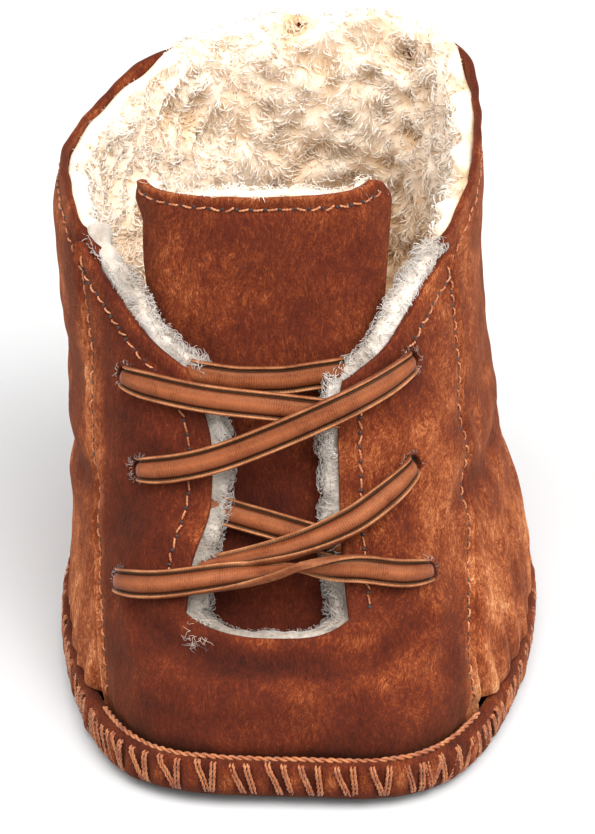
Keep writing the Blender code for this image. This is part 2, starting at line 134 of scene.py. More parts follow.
# The last, a row for each level, in the same shares as the solids' own table
SECTION_COLUMNS = (
    "height", "front", "back", "toe", "waist", "heel", "square",
    "toe_lean", "waist_lean", "heel_lean", "recede",
)
SECTIONS = (
    (0.00, 0.000, 1.000, 0.895, 1.000, 0.820, 0.42, 0.04, 0.01, 0.00, 0.030),
    (0.09, 0.000, 1.004, 0.895, 1.004, 0.830, 0.42, 0.04, 0.01, 0.00, 0.030),
    (0.15, 0.007, 1.012, 0.890, 1.020, 0.850, 0.42, 0.02, 0.00, 0.00, 0.028),
    (0.21, 0.039, 1.012, 0.880, 1.018, 0.858, 0.42, 0.00, -0.02, 0.00, 0.026),
    (0.27, 0.088, 1.009, 0.873, 0.995, 0.858, 0.42, -0.02, -0.06, 0.00, 0.024),
    (0.39, 0.158, 0.994, 0.873, 0.960, 0.848, 0.42, -0.06, -0.12, -0.01, 0.016),
    (0.55, 0.228, 0.970, 0.880, 0.960, 0.836, 0.44, -0.10, -0.16, -0.02, 0.008),
    (0.71, 0.278, 0.962, 0.886, 0.970, 0.840, 0.47, -0.14, -0.19, -0.04, 0.000),
    (0.87, 0.308, 0.962, 0.892, 0.975, 0.850, 0.49, -0.19, -0.21, -0.05, 0.000),
    (1.00, 0.324, 0.970, 0.900, 0.985, 0.880, 0.52, -0.21, -0.21, -0.06, 0.000),
    (1.20, 0.349, 0.985, 0.905, 1.000, 0.900, 0.56, -0.22, -0.21, -0.06, 0.000),
)
WAIST_PLACE = 0.46
HEEL_SQUARE = 0.68
THROAT_EDGES = (
    (0.28, -0.500, 0.395),
    (0.36, -0.455, 0.380),
    (0.46, -0.335, 0.375),
    (0.55, -0.320, 0.375),
    (0.65, -0.400, 0.400),
    (0.72, -0.520, 0.500),
)
COLLAR_EDGE = (
    (0.00, 0.00, 0.00),
    (0.12, 0.18, 0.25),
    (0.45, 0.36, 0.70),
    (0.75, 0.80, 1.02),
    (1.00, 1.00, 1.00),
)
TONGUE_SIDES = ((0.18, 0.64), (0.35, 0.66), (0.60, 0.80), (0.80, 0.96), (1.00, 1.00))
EYELETS = {
    "left_top": (-0.76, 0.642),
    "left_middle": (-0.70, 0.495),
    "left_low": (-0.85, 0.303),
    "right_top": (0.76, 0.688),
    "right_middle": (0.74, 0.515),
    "right_low": (0.80, 0.338),
}

# The elastic's runs, from end to end, each place as aside in SEAM_HALF_WIDTH from the middle,
# height in COLLAR_HEIGHT, lift above the flaps' face in LACE_THICKNESS, roll in degrees about its
# own way, and width as a share of LACE_WIDTH. An end dives into its eyelet, or under a flap.
LACE_RUNS = {
    "lace_upper": (
        (
            (-0.765, 0.643, -1.6, 0, 0.55),
            (-0.735, 0.642, 0.1, 0, 0.80),
            (-0.60, 0.640, 0.3, 4, 1.0),
            (-0.28, 0.630, 0.3, 6, 1.0),
            (0.10, 0.622, 0.0, 4, 1.0),
            (0.40, 0.612, -1.4, 0, 1.0),
        ),
        (
            (-0.705, 0.494, -1.6, 0, 0.55),
            (-0.675, 0.496, 0.1, 0, 0.85),
            (-0.55, 0.506, 0.4, 0, 1.0),
            (-0.30, 0.530, 0.6, 0, 1.0),
            (0.06, 0.578, 1.2, -4, 1.0),
            (0.30, 0.615, 1.3, -6, 1.0),
            (0.60, 0.664, 0.6, -4, 0.95),
            (0.735, 0.687, 0.1, 0, 0.75),
            (0.765, 0.690, -1.6, 0, 0.50),
        ),
        (
            (-0.44, 0.668, -2.0, 0, 1.0),
            (-0.29, 0.664, -1.8, 0, 1.0),
            (-0.14, 0.660, -2.3, 0, 1.0),
            (0.04, 0.662, -2.6, 0, 1.0),
            (0.28, 0.675, -2.4, 0, 1.0),
            (0.44, 0.684, -2.2, 0, 1.0),
        ),
    ),
    "lace_lower": (
        (
            (0.745, 0.517, -1.6, 0, 0.50),
            (0.715, 0.510, 0.1, 0, 0.75),
            (0.60, 0.480, 0.5, -6, 0.95),
            (0.42, 0.440, 0.5, -16, 1.0),
            (0.12, 0.400, 0.0, -36, 1.0),
            (-0.20, 0.375, -0.9, -50, 0.95),
            (-0.40, 0.362, -1.6, -50, 0.9),
        ),
        (
            (-0.855, 0.303, -1.6, 0, 0.55),
            (-0.825, 0.306, 0.1, 0, 0.85),
            (-0.70, 0.318, 0.4, 0, 1.0),
            (-0.32, 0.345, 0.5, 14, 1.0),
            (0.00, 0.358, 1.1, 62, 1.0),
            (0.16, 0.366, 1.2, 96, 1.0),
            (0.42, 0.366, 0.9, 158, 1.0),
            (0.66, 0.350, 0.4, 178, 1.0),
            (0.775, 0.341, 0.1, 180, 0.80),
            (0.805, 0.338, -1.6, 180, 0.55),
        ),
        (
            (-0.44, 0.466, -2.2, 0, 1.0),
            (-0.27, 0.450, -2.4, 0, 1.0),
            (-0.02, 0.432, -2.2, 0, 1.0),
            (0.22, 0.414, -1.4, 0, 1.0),
            (0.44, 0.398, -1.9, 0, 1.0),
        ),
    ),
}

# Creases pressed into the skin, each as its line's places, in metres round from the toe's middle
# and up, then its depth and its half width. A line from the toe's middle runs to +X when positive.
CREASES = (
    (
        ((-0.0200, 0.0212), (-0.0100, 0.0186), (0.0030, 0.0182), (0.0150, 0.0194), (0.0215, 0.0220)),
        0.0011, 0.0017,
    ),
    (((-0.0240, 0.0130), (-0.0120, 0.0118), (0.0020, 0.0122)), 0.0003, 0.0018),
    (((0.0060, 0.0145), (0.0160, 0.0140), (0.0250, 0.0165)), 0.0003, 0.0020),
    (((0.0325, 0.0335), (0.0400, 0.0318), (0.0520, 0.0300), (0.0640, 0.0306)), 0.0008, 0.0022),
    (((-0.0330, 0.0330), (-0.0420, 0.0312), (-0.0540, 0.0300), (-0.0660, 0.0300)), 0.0008, 0.0022),
    (((0.0360, 0.0440), (0.0480, 0.0425), (0.0580, 0.0445)), 0.0004, 0.0026),
    (((-0.0360, 0.0450), (-0.0470, 0.0432), (-0.0600, 0.0450)), 0.0004, 0.0026),
    (((-0.0255, 0.0310), (-0.0205, 0.0350), (-0.0180, 0.0410)), 0.0004, 0.0020),
    (((0.0250, 0.0300), (0.0200, 0.0330), (0.0175, 0.0400)), 0.0003, 0.0020),
    (((0.0900, 0.0340), (0.1050, 0.0325), (0.1200, 0.0330)), 0.0007, 0.0026),
    (((-0.0900, 0.0340), (-0.1050, 0.0325), (-0.1200, 0.0330)), 0.0007, 0.0026),
)

# How far each bundle of the whip stitch slips from its place, at top and bottom; how the crowded ones
# lean, in shares; and where loose curls of wool stand up, as aside, height and out
WHIP_SLIPS = ((0.0, 0.0), (0.00015, -0.0002), (-0.0002, 0.00015), (0.0001, 0.0003), (-0.0001, -0.0003))
CROWDED_LEANS = ((-0.6, 0.7), (-0.2, 1.0), (-1.0, 0.2), (0.5, -0.6), (-0.8, 0.9), (0.3, 0.6))
LOOSE_CURLS = (
    (-0.62, 0.985, -0.008),
    (-0.30, 0.990, -0.0075),
    (0.10, 0.990, -0.0075),
    (0.42, 0.985, -0.008),
)

# How finely the forms are meshed
LEVELS = 97
SHARES = 481
THROAT_STEPS = 30
FLAP_STEPS = 30
VAMP_ROWS = 46
SHAFT_ROWS = 84
QUARTER_COLUMNS = 200
QUARTER_ROWS = 84


def smooth(places, values, place):
    """Monotone curve through a table's column, held level past both ends."""
    places = np.asarray(places, float)
    values = np.asarray(values, float)
    place = np.clip(np.asarray(place, float), places[0], places[-1])
    run = np.diff(places)
    slope = np.diff(values) / run
    bend = np.zeros(len(places))
    same_way = slope[:-1] * slope[1:] > 0
    bend[1:-1][same_way] = 2 * (slope[:-1] * slope[1:])[same_way] / (slope[:-1] + slope[1:])[same_way]
    bend[0], bend[-1] = slope[0], slope[-1]
    part = np.clip(np.searchsorted(places, place) - 1, 0, len(run) - 1)
    t = (place - places[part]) / run[part]
    return (
        (1 + 2 * t) * (1 - t) ** 2 * values[part]
        + t * (1 - t) ** 2 * run[part] * bend[part]
        + t * t * (3 - 2 * t) * values[part + 1]
        + t * t * (t - 1) * run[part] * bend[part + 1]
    )


def table_value(table, number, place):
    """A column of a table of rows, read at a place of its first column."""
    return smooth([row[0] for row in table], [row[number] for row in table], place)


def section(height):
    """One level of the last, as x and y at equal shares round it from heel over toe to heel."""
    row = {
        name: float(table_value(SECTIONS, number, height / COLLAR_HEIGHT))
        for number, name in enumerate(SECTION_COLUMNS)
    }
    turn = np.linspace(-math.pi, math.pi, 2 * SHARES - 1)
    along = (1 - np.cos(turn)) / 2
    half = smooth((0.0, WAIST_PLACE, 1.0), (row["toe"], row["waist"], row["heel"]), along)
    square = row["square"] + (HEEL_SQUARE - row["square"]) * along * along * (3 - 2 * along)
    x = np.sign(turn) * half * np.abs(np.sin(turn)) ** square
    little_toe = (0.5 + 0.5 * x / row["toe"]) * (1 - along) ** 3
    y = row["front"] + (row["back"] - row["front"]) * along + row["recede"] * little_toe
    lean = smooth((0.0, WAIST_PLACE, 1.0), (row["toe_lean"], row["waist_lean"], row["heel_lean"]), along)
    x = FOOT_HALF_WIDTH * (x + lean)
    y = FOOT_LENGTH * (y - 0.5)
    steps = np.hypot(np.diff(x), np.diff(y))
    way = np.concatenate(([0.0], np.cumsum(steps)))
    toe = way[SHARES - 1]
    share = np.where(way < toe, way / toe - 1, (way - toe) / (way[-1] - toe))
    even = np.linspace(-1, 1, SHARES)
    return np.stack((np.interp(even, share, x), np.interp(even, share, y)), axis=1)


LEVEL_HEIGHTS = np.linspace(0.0, SECTIONS[-1][0] * COLLAR_HEIGHT, LEVELS)
LAST = np.array([section(height) for height in LEVEL_HEIGHTS])
SHIFT = np.zeros(3)


def on_level(share, height):
    """Point of the last at a share round it: 0 at the toe's middle, 1 and -1 at the heel's."""
    share, height = np.broadcast_arrays(np.asarray(share, float), np.asarray(height, float))
    column = ((share + 1) % 2) / 2 * (SHARES - 1)
    level = np.clip(height / LEVEL_HEIGHTS[-1], 0, 1) * (LEVELS - 1)
    i = np.minimum(column.astype(int), SHARES - 2)
    j = np.minimum(level.astype(int), LEVELS - 2)
    s = (column - i)[..., None]
    t = (level - j)[..., None]
    low = LAST[j, i] * (1 - s) + LAST[j, i + 1] * s
    high = LAST[j + 1, i] * (1 - s) + LAST[j + 1, i + 1] * s
    return np.concatenate((low * (1 - t) + high * t, height[..., None]), axis=-1)


def outward(share, height):
    """Unit normal of the last, pointing out."""
    aside, above = 0.012, 0.0015
    across = on_level(share + aside, height) - on_level(share - aside, height)
    up = on_level(share, height + above) - on_level(share, np.maximum(height - above, 0.0))
    normal = np.cross(across, up)
    return normal / np.linalg.norm(normal, axis=-1, keepdims=True)


def spring(y):
    """How far the sole lifts off the floor: at the toe, under the arch and at the heel's end."""
    place = y / SOLE_LENGTH + 0.5
    toe = TOE_SPRING * np.clip(1 - place / TOE_SPRING_END, 0, 1) ** 2
    heel = HEEL_SPRING * np.clip((place - HEEL_SPRING_START) / (1 - HEEL_SPRING_START), 0, 1) ** 2
    arch = ARCH_LIFT * np.clip(1 - ((place - ARCH_PLACE) / ARCH_REACH) ** 2, 0, 1)
    return toe + heel + arch


def on_last(share, height, out=0.0, level=False):
    """Point in the frame at a distance out from the last, square to it or level."""
    share, height = np.broadcast_arrays(np.asarray(share, float), np.asarray(height, float))
    normal = outward(share, height)
    if level:
        normal[..., 2] = 0.0
        normal /= np.linalg.norm(normal, axis=-1, keepdims=True)
    point = on_level(share, height) + np.asarray(out, float)[..., None] * normal
    fade = np.clip(1 - point[..., 2] / SPRING_FADE, 0, 1) ** 2
    point[..., 2] += spring(point[..., 1]) * fade
    return point + SHIFT


def front_share(aside, height):
    """Share round the last where its front lies this far to the side of its middle line."""
    side = 1 if aside >= 0 else -1
    shares = side * np.linspace(0, 0.45, 181)
    x = side * on_level(shares, height)[:, 0]
    lean = side * float(on_level(0.0, height)[0])
    widest = int(np.argmax(x)) + 1
    return float(np.interp(abs(aside) + lean, x[:widest], shares[:widest] * side)) * side


def half_round(height, side):
    """Length of one half of a level, from toe to heel."""
    points = on_level(side * np.linspace(0, 1, 61), height)
    return float(np.linalg.norm(np.diff(points, axis=0), axis=1).sum())


def throat_aside(height, side):
    """How far from the middle line the throat's edge runs, signed."""
    return SEAM_HALF_WIDTH * float(table_value(THROAT_EDGES, 1 if side < 0 else 2, height / COLLAR_HEIGHT))


# The same places for every level, read between levels: the throat's edge, the side seam, and the
# length of each half round
SEAM = {side: [front_share(side * SEAM_HALF_WIDTH, h) for h in LEVEL_HEIGHTS] for side in (-1, 1)}
THROAT = {
    side: [front_share(throat_aside(max(h, THROAT_FOOT_HEIGHT), side), h) for h in LEVEL_HEIGHTS]
    for side in (-1, 1)
}
HALF = {side: [half_round(h, side) for h in LEVEL_HEIGHTS] for side in (-1, 1)}


def seam_share(height, side):
    """Share of the side seam's raw edge."""
    return np.interp(height, LEVEL_HEIGHTS, SEAM[side])


def throat_share(height, side):
    """Share of the throat's edge."""
    return np.interp(height, LEVEL_HEIGHTS, THROAT[side])


def half_length(height, side):
    """Metres for each share on a side."""
    return np.interp(height, LEVEL_HEIGHTS, HALF[side])


def round_metres(share, height):
    """Metres round from the toe's middle, signed."""
    return share * np.where(share < 0, half_length(height, -1), half_length(height, 1))


def find_shift():
    """How far the boot was moved to stand centred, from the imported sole's lowest corner."""
    share = np.linspace(-1, 1, 721)
    rings = [
        on_last(share, np.full(share.shape, height), np.full(share.shape, RIM), level=True)
        for height in (1.6 * LIP_ROUND, LIP_HEIGHT - LIP_ROUND)
    ]
    low = np.min([ring.min(axis=0) for ring in rings], axis=0)
    return np.array((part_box("sole")[0][0] - low[0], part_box("sole")[0][1] - low[1], 0.0))


SHIFT = find_shift()
LAST_MIDDLE = float(on_last(1.0, 0.07)[0])


def swell(points, size, seed, waves=9):
    """Soft irregular hills about size apart, from crossing waves; mostly between -1 and 1."""
    rng = np.random.default_rng(seed)
    way = rng.normal(size=(waves, 3))
    way /= np.linalg.norm(way, axis=1, keepdims=True)
    length = size * rng.uniform(0.7, 1.5, waves)
    phase = rng.uniform(0, 2 * math.pi, waves)
    total = sum(np.sin(points @ w * (2 * math.pi / one) + p) for w, one, p in zip(way, length, phase))
    return total / math.sqrt(waves)


def crease_relief(round_way, height):
    """Troughs with a soft ridge on both sides, along each crease's line."""
    total = np.zeros(np.shape(round_way))
    for line, depth, half_width in CREASES:
        line = np.array(line)
        nearest = np.full(np.shape(round_way), 1.0)
        for (ax, ay), (bx, by) in zip(line, line[1:]):
            length_2 = (bx - ax) ** 2 + (by - ay) ** 2
            t = np.clip(((round_way - ax) * (bx - ax) + (height - ay) * (by - ay)) / length_2, 0, 1)
            to_line = np.hypot(round_way - ax - t * (bx - ax), height - ay - t * (by - ay))
            nearest = np.minimum(nearest, to_line)
        ends = np.minimum(
            np.hypot(round_way - line[0, 0], height - line[0, 1]),
            np.hypot(round_way - line[-1, 0], height - line[-1, 1]),
        )
        fade = np.clip(0.35 + ends / (4 * half_width), 0, 1)
        near = nearest / half_width
        total += depth * fade * (0.45 * np.exp(-((near - 2.1) ** 2)) - np.exp(-near * near))
    return total


def skin_relief(share, height):
    """How far the skin stands in or out of the last's plain form."""
    way = round_metres(share, height)
    plain = on_last(share, height)
    side = np.sign(share)
    slack = 0.00022 * swell(plain, 0.016, 11) + 0.00010 * swell(plain, 0.006, 12)
    gathered = np.clip(1 - (height - UPPER_FOOT_HEIGHT) / 0.016, 0, 1)
    corner = np.exp(-(((np.abs(way) - 0.033) / 0.010) ** 2))
    pucker = gathered**2 * (0.00010 + 0.00022 * corner) * np.sin(way * 2 * math.pi / WHIP_PITCH + 0.6 * side)
    flare = np.clip((0.034 - height) / 0.022, 0, 1) * np.clip((np.abs(share) - 0.22) / 0.05, 0, 1)
    pleats = 0.00020 * flare * np.sin(way * 2 * math.pi / 0.0062 + 1.2 * np.sin(height * 180))
    tuck = -0.0006 * np.clip(1 - np.abs(height - LIP_HEIGHT + 0.0006) / 0.0030, 0, 1) ** 2
    return slack + pucker + pleats + tuck + crease_relief(way, height)


def skin_tone_and_painted_light(share, height):
    """How light, above 0, or dark, below 0, the suede shows over the skin: the nap's own cloudy tone, paler
    raised nap with painted sheen on the flares and quarters, a painted highlight on the vamp's right cheek, and
    painted shade over the vamp's left side, along its foot by the lip and in the creases.
    """
    way = round_metres(share, height)
    plain = on_last(share, height)
    cloudy = 0.22 * swell(plain, 0.020, 21) + 0.12 * swell(plain, 0.007, 22)
    # The flares and the quarters are paler: their raised nap, with painted sheen where light grazes them
    flare = np.clip((0.036 - height) / 0.014, 0, 1) * np.clip((np.abs(share) - 0.215) / 0.03, 0, 1)
    quarter = np.clip((np.abs(share) - 0.215) / 0.02, 0, 1)
    # Painted highlight on the vamp's right cheek, where the strong light falls
    cheek = np.exp(-(((way - 0.021) / 0.010) ** 2)) * np.clip((height - 0.012) / 0.012, 0, 1)
    # Painted shade over the vamp's left side, away from the strong light
    left = np.clip((-way - 0.002) / 0.018, 0, 1) * (1 - quarter)
    # Painted shade along the upper's foot, where it meets the lip
    foot = np.exp(-(((height - LIP_HEIGHT) / 0.0035) ** 2)) * (1 - quarter)
    # Painted shade in the creases' troughs
    painted_crease_shade = np.clip(-crease_relief(way, height) / 0.0010, 0, 1)
    # The paler parts, with the painted sheen and the painted highlight among them
    pale = 0.35 * flare + 0.34 * quarter + 0.30 * cheek + 0.10 * flare * (share < 0)
    return cloudy + pale - 0.30 * left - 0.45 * foot - 0.75 * painted_crease_shade


def add(tree, kind, inputs=None, **settings):
    """A new node with its settings, and its inputs' values or links by name or number."""
    made = tree.nodes.new(kind)
    for name, value in settings.items():
        setattr(made, name, value)
    for name, value in (inputs or {}).items():
        if isinstance(value, bpy.types.NodeSocket):
            tree.links.new(value, made.inputs[name])
        else:
            made.inputs[name].default_value = value
    return made


def colour(text):
    """A hex sRGB colour as linear values."""
    parts = [int(text[i : i + 2], 16) / 255 for i in (1, 3, 5)]
    return (*[p / 12.92 if p <= 0.04045 else ((p + 0.055) / 1.055) ** 2.4 for p in parts], 1.0)


def new_finish(name):
    """An empty material's tree and its shader."""
    finish = bpy.data.materials.new(name)
    finish.use_nodes = True
    return finish, finish.node_tree, finish.node_tree.nodes["Principled BSDF"]


def ramp(tree, factor, stops):
    """Colours at places of a value, as a color ramp's output."""
    node = add(tree, "ShaderNodeValToRGB", {0: factor})
    band = node.color_ramp
    while len(band.elements) < len(stops):
        band.elements.new(0.5)
    for element, (place, text) in zip(band.elements, stops):
        element.position = place
        element.color = colour(text)
    return node.outputs[0]


def suede_finish(name, stops, nap=0.0010, lift=1.0):
    """Sheepskin's brushed flesh side: short nap in strokes a millimetre long that swirl, matt, soft sheen."""
    finish, tree, shader = new_finish(name)
    place = add(tree, "ShaderNodeTexCoord").outputs["Object"]
    cloud = add(
        tree, "ShaderNodeTexNoise", {"Vector": place, "Scale": 1 / 0.011, "Detail": 3.0, "Roughness": 0.6},
    )
    drift = add(tree, "ShaderNodeTexNoise", {"Vector": place, "Scale": 1 / 0.007, "Detail": 1.0})
    swirl = add(
        tree, "ShaderNodeVectorMath", {0: drift.outputs[1], 1: (0.004, 0.004, 0.004), 2: place},
        operation="MULTIPLY_ADD",
    )
    brushed = add(
        tree, "ShaderNodeVectorMath", {0: swirl.outputs[0], 1: (1.0, 0.42, 0.42)}, operation="MULTIPLY",
    )
    tuft = add(
        tree, "ShaderNodeTexNoise",
        {"Vector": brushed.outputs[0], "Scale": 1.7 / nap, "Detail": 3.5, "Roughness": 0.7, "Distortion": 0.25},
    )
    fibre = add(
        tree, "ShaderNodeTexNoise",
        {"Vector": brushed.outputs[0], "Scale": 5.5 / nap, "Detail": 2.0, "Roughness": 0.7, "Distortion": 0.2},
    )
    tone = add(tree, "ShaderNodeAttribute", attribute_name="tone")
    level = 0.5
    for source, share in ((tuft.outputs[0], 0.60), (fibre.outputs[0], 0.65), (cloud.outputs[0], 0.75)):
        centred = add(tree, "ShaderNodeMath", {0: source, 1: 0.5}, operation="SUBTRACT")
        level = add(
            tree, "ShaderNodeMath", {0: centred.outputs[0], 1: share, 2: level}, operation="MULTIPLY_ADD"
        ).outputs[0]
    # The tone attribute moves the colour along the ramp: the nap's own tone, with painted highlights, sheen and
    # shade laid over it
    level = add(
        tree, "ShaderNodeMath", {0: tone.outputs["Fac"], 1: 0.30, 2: level}, operation="MULTIPLY_ADD",
    )
    tree.links.new(ramp(tree, level.outputs[0], stops), shader.inputs["Base Color"])
    height = add(
        tree, "ShaderNodeMath", {0: fibre.outputs[0], 1: 0.6, 2: tuft.outputs[0]}, operation="MULTIPLY_ADD",
    )
    bump = add(
        tree, "ShaderNodeBump", {"Strength": 0.7 * lift, "Distance": 0.00035, "Height": height.outputs[0]},
    )
    tree.links.new(bump.outputs[0], shader.inputs["Normal"])
    shader.inputs["Roughness"].default_value = 0.92
    shader.inputs["Specular IOR Level"].default_value = 0.15
    shader.inputs["Sheen Weight"].default_value = 0.16
    shader.inputs["Sheen Roughness"].default_value = 0.45
    shader.inputs["Sheen Tint"].default_value = colour("#E8905A")
    return finish


def wool_finish(name, stops, sheen=0.25):
    """Sheared lamb's wool: crimped fibres in soft clumps, no gloss, light passing through the tips."""
    finish, tree, shader = new_finish(name)
    place = add(tree, "ShaderNodeTexCoord").outputs["Object"]
    clump = add(
        tree, "ShaderNodeTexNoise", {"Vector": place, "Scale": 1 / 0.0075, "Detail": 3.0, "Roughness": 0.6},
    )
    curl = add(
        tree, "ShaderNodeTexNoise",
        {"Vector": place, "Scale": 1 / 0.0012, "Detail": 2.0, "Roughness": 0.6, "Distortion": 1.4},
    )
    tone = add(tree, "ShaderNodeAttribute", attribute_name="tone")
    one = add(
        tree, "ShaderNodeMath", {0: curl.outputs[0], 1: 0.30, 2: clump.outputs[0]}, operation="MULTIPLY_ADD",
    )
    # The tone attribute moves the colour along the ramp: the wool's own tone, with painted shade in its creases
    # and low down inside the boot
    two = add(
        tree, "ShaderNodeMath", {0: tone.outputs["Fac"], 1: 0.35, 2: one.outputs[0]}, operation="MULTIPLY_ADD",
    )
    tree.links.new(ramp(tree, two.outputs[0], stops), shader.inputs["Base Color"])
    bump = add(tree, "ShaderNodeBump", {"Strength": 0.6, "Distance": 0.0004, "Height": curl.outputs[0]})
    tree.links.new(bump.outputs[0], shader.inputs["Normal"])
    shader.inputs["Roughness"].default_value = 1.0
    shader.inputs["Specular IOR Level"].default_value = 0.1
    shader.inputs["Sheen Weight"].default_value = sheen
    shader.inputs["Sheen Roughness"].default_value = 0.6
    shader.inputs["Subsurface Weight"].default_value = 0.45
    shader.inputs["Subsurface Radius"].default_value = (1.0, 0.8, 0.6)
    shader.inputs["Subsurface Scale"].default_value = 0.0020
    return finish


def thread_finish(name, stops):
    """Waxed polyester sewing thread, twisted: a satin gloss that breaks over each turn."""
    finish, tree, shader = new_finish(name)
    place = add(tree, "ShaderNodeTexCoord").outputs["Object"]
    worn = add(
        tree, "ShaderNodeTexNoise", {"Vector": place, "Scale": 1 / 0.0022, "Detail": 2.0, "Roughness": 0.6},
    )
    fibre = add(tree, "ShaderNodeTexNoise", {"Vector": place, "Scale": 1 / 0.00016, "Detail": 1.0})
    one = add(
        tree, "ShaderNodeMath", {0: fibre.outputs[0], 1: 0.35, 2: worn.outputs[0]}, operation="MULTIPLY_ADD",
    )
    tree.links.new(ramp(tree, one.outputs[0], stops), shader.inputs["Base Color"])
    bump = add(tree, "ShaderNodeBump", {"Strength": 0.4, "Distance": 0.00008, "Height": fibre.outputs[0]})
    tree.links.new(bump.outputs[0], shader.inputs["Normal"])
    shader.inputs["Roughness"].default_value = 0.46
    shader.inputs["Sheen Weight"].default_value = 0.2
    shader.inputs["Sheen Roughness"].default_value = 0.4
    return finish


def elastic_finish():
    """Braided flat elastic: satin viscose ribs over rubber, a bright cord and a dark groove at each side, with
    the band's shading painted into its colour: a painted highlight on the pad's crown and on each rib, and
    painted shade toward the pad's edges and in the grooves.
    """
    finish, tree, shader = new_finish("braided_elastic_viscose")
    place = add(tree, "ShaderNodeTexCoord").outputs["Object"]
    across = add(tree, "ShaderNodeAttribute", attribute_name="across")
    rib = add(tree, "ShaderNodeAttribute", attribute_name="rib")
    shade = add(
        tree, "ShaderNodeTexNoise", {"Vector": place, "Scale": 1 / 0.0035, "Detail": 3.0, "Roughness": 0.6},
    )
    fleck = add(tree, "ShaderNodeTexNoise", {"Vector": place, "Scale": 1 / 0.0003, "Detail": 1.0})
    tooth = add(tree, "ShaderNodeMath", {0: rib.outputs["Fac"], 1: 0.5}, operation="SUBTRACT")
    toothed = add(
        tree, "ShaderNodeMath", {0: tooth.outputs[0], 1: 0.09, 2: across.outputs["Fac"]},
        operation="MULTIPLY_ADD",
    )
    # Across the band from its middle out: lighter at the pad's crown and darker toward its edges, painted
    # highlight and shade of its dome; near black in the grooves, painted shade, their edges toothed with the
    # ribs; then the bright cord
    body = ramp(
        tree, toothed.outputs[0],
        (
            (0.0, "#8A4E30"), (0.50, "#66341D"), (0.60, "#1B0904"),
            (0.72, "#1B0904"), (0.80, "#BC8158"), (0.98, "#6A3520"),
        ),
    )
    one = add(
        tree, "ShaderNodeMath", {0: fleck.outputs[0], 1: 0.5, 2: shade.outputs[0]}, operation="MULTIPLY_ADD",
    )
    # Each rib's crest is made lighter: painted highlight along the ribs, over the weave's own mottle
    two = add(
        tree, "ShaderNodeMath", {0: rib.outputs["Fac"], 1: 0.35, 2: one.outputs[0]}, operation="MULTIPLY_ADD",
    )
    light = ramp(tree, two.outputs[0], ((0.30, "#6E6060"), (0.65, "#C4B4AE"), (1.0, "#FFFFFF")))
    mixed = add(
        tree, "ShaderNodeMix", {0: 1.0, 6: body, 7: light}, data_type="RGBA", blend_type="MULTIPLY"
    )
    tree.links.new(mixed.outputs[2], shader.inputs["Base Color"])
    bump = add(tree, "ShaderNodeBump", {"Strength": 0.3, "Distance": 0.00006, "Height": fleck.outputs[0]})
    tree.links.new(bump.outputs[0], shader.inputs["Normal"])
    shader.inputs["Roughness"].default_value = 0.38
    shader.inputs["Specular IOR Level"].default_value = 0.42
    shader.inputs["Specular Tint"].default_value = colour("#F2B48A")
    return finish


def give_tone(data, values, name="tone"):
    """Writes one value for each vertex."""
    attribute = data.attributes.new(name, "FLOAT", "POINT")
    attribute.data.foreach_set("value", np.asarray(values, np.float32))


def face_out(data):
    """Turns every face of a closed mesh outwards."""
    work = bmesh.new()
    work.from_mesh(data)
    bmesh.ops.recalc_face_normals(work, faces=work.faces)
    work.to_mesh(data)
    work.free()


def new_piece(name, points, faces, finish, tones=None):
    """A smooth mesh object at the origin."""
    data = bpy.data.meshes.new(name)
    data.from_pydata(np.asarray(points).tolist(), [], faces)
    data.materials.append(finish)
    data.shade_smooth()
    if tones is not None:
        give_tone(data, tones)
    piece = bpy.data.objects.new(name, data)
    bpy.context.scene.collection.objects.link(piece)
    return piece


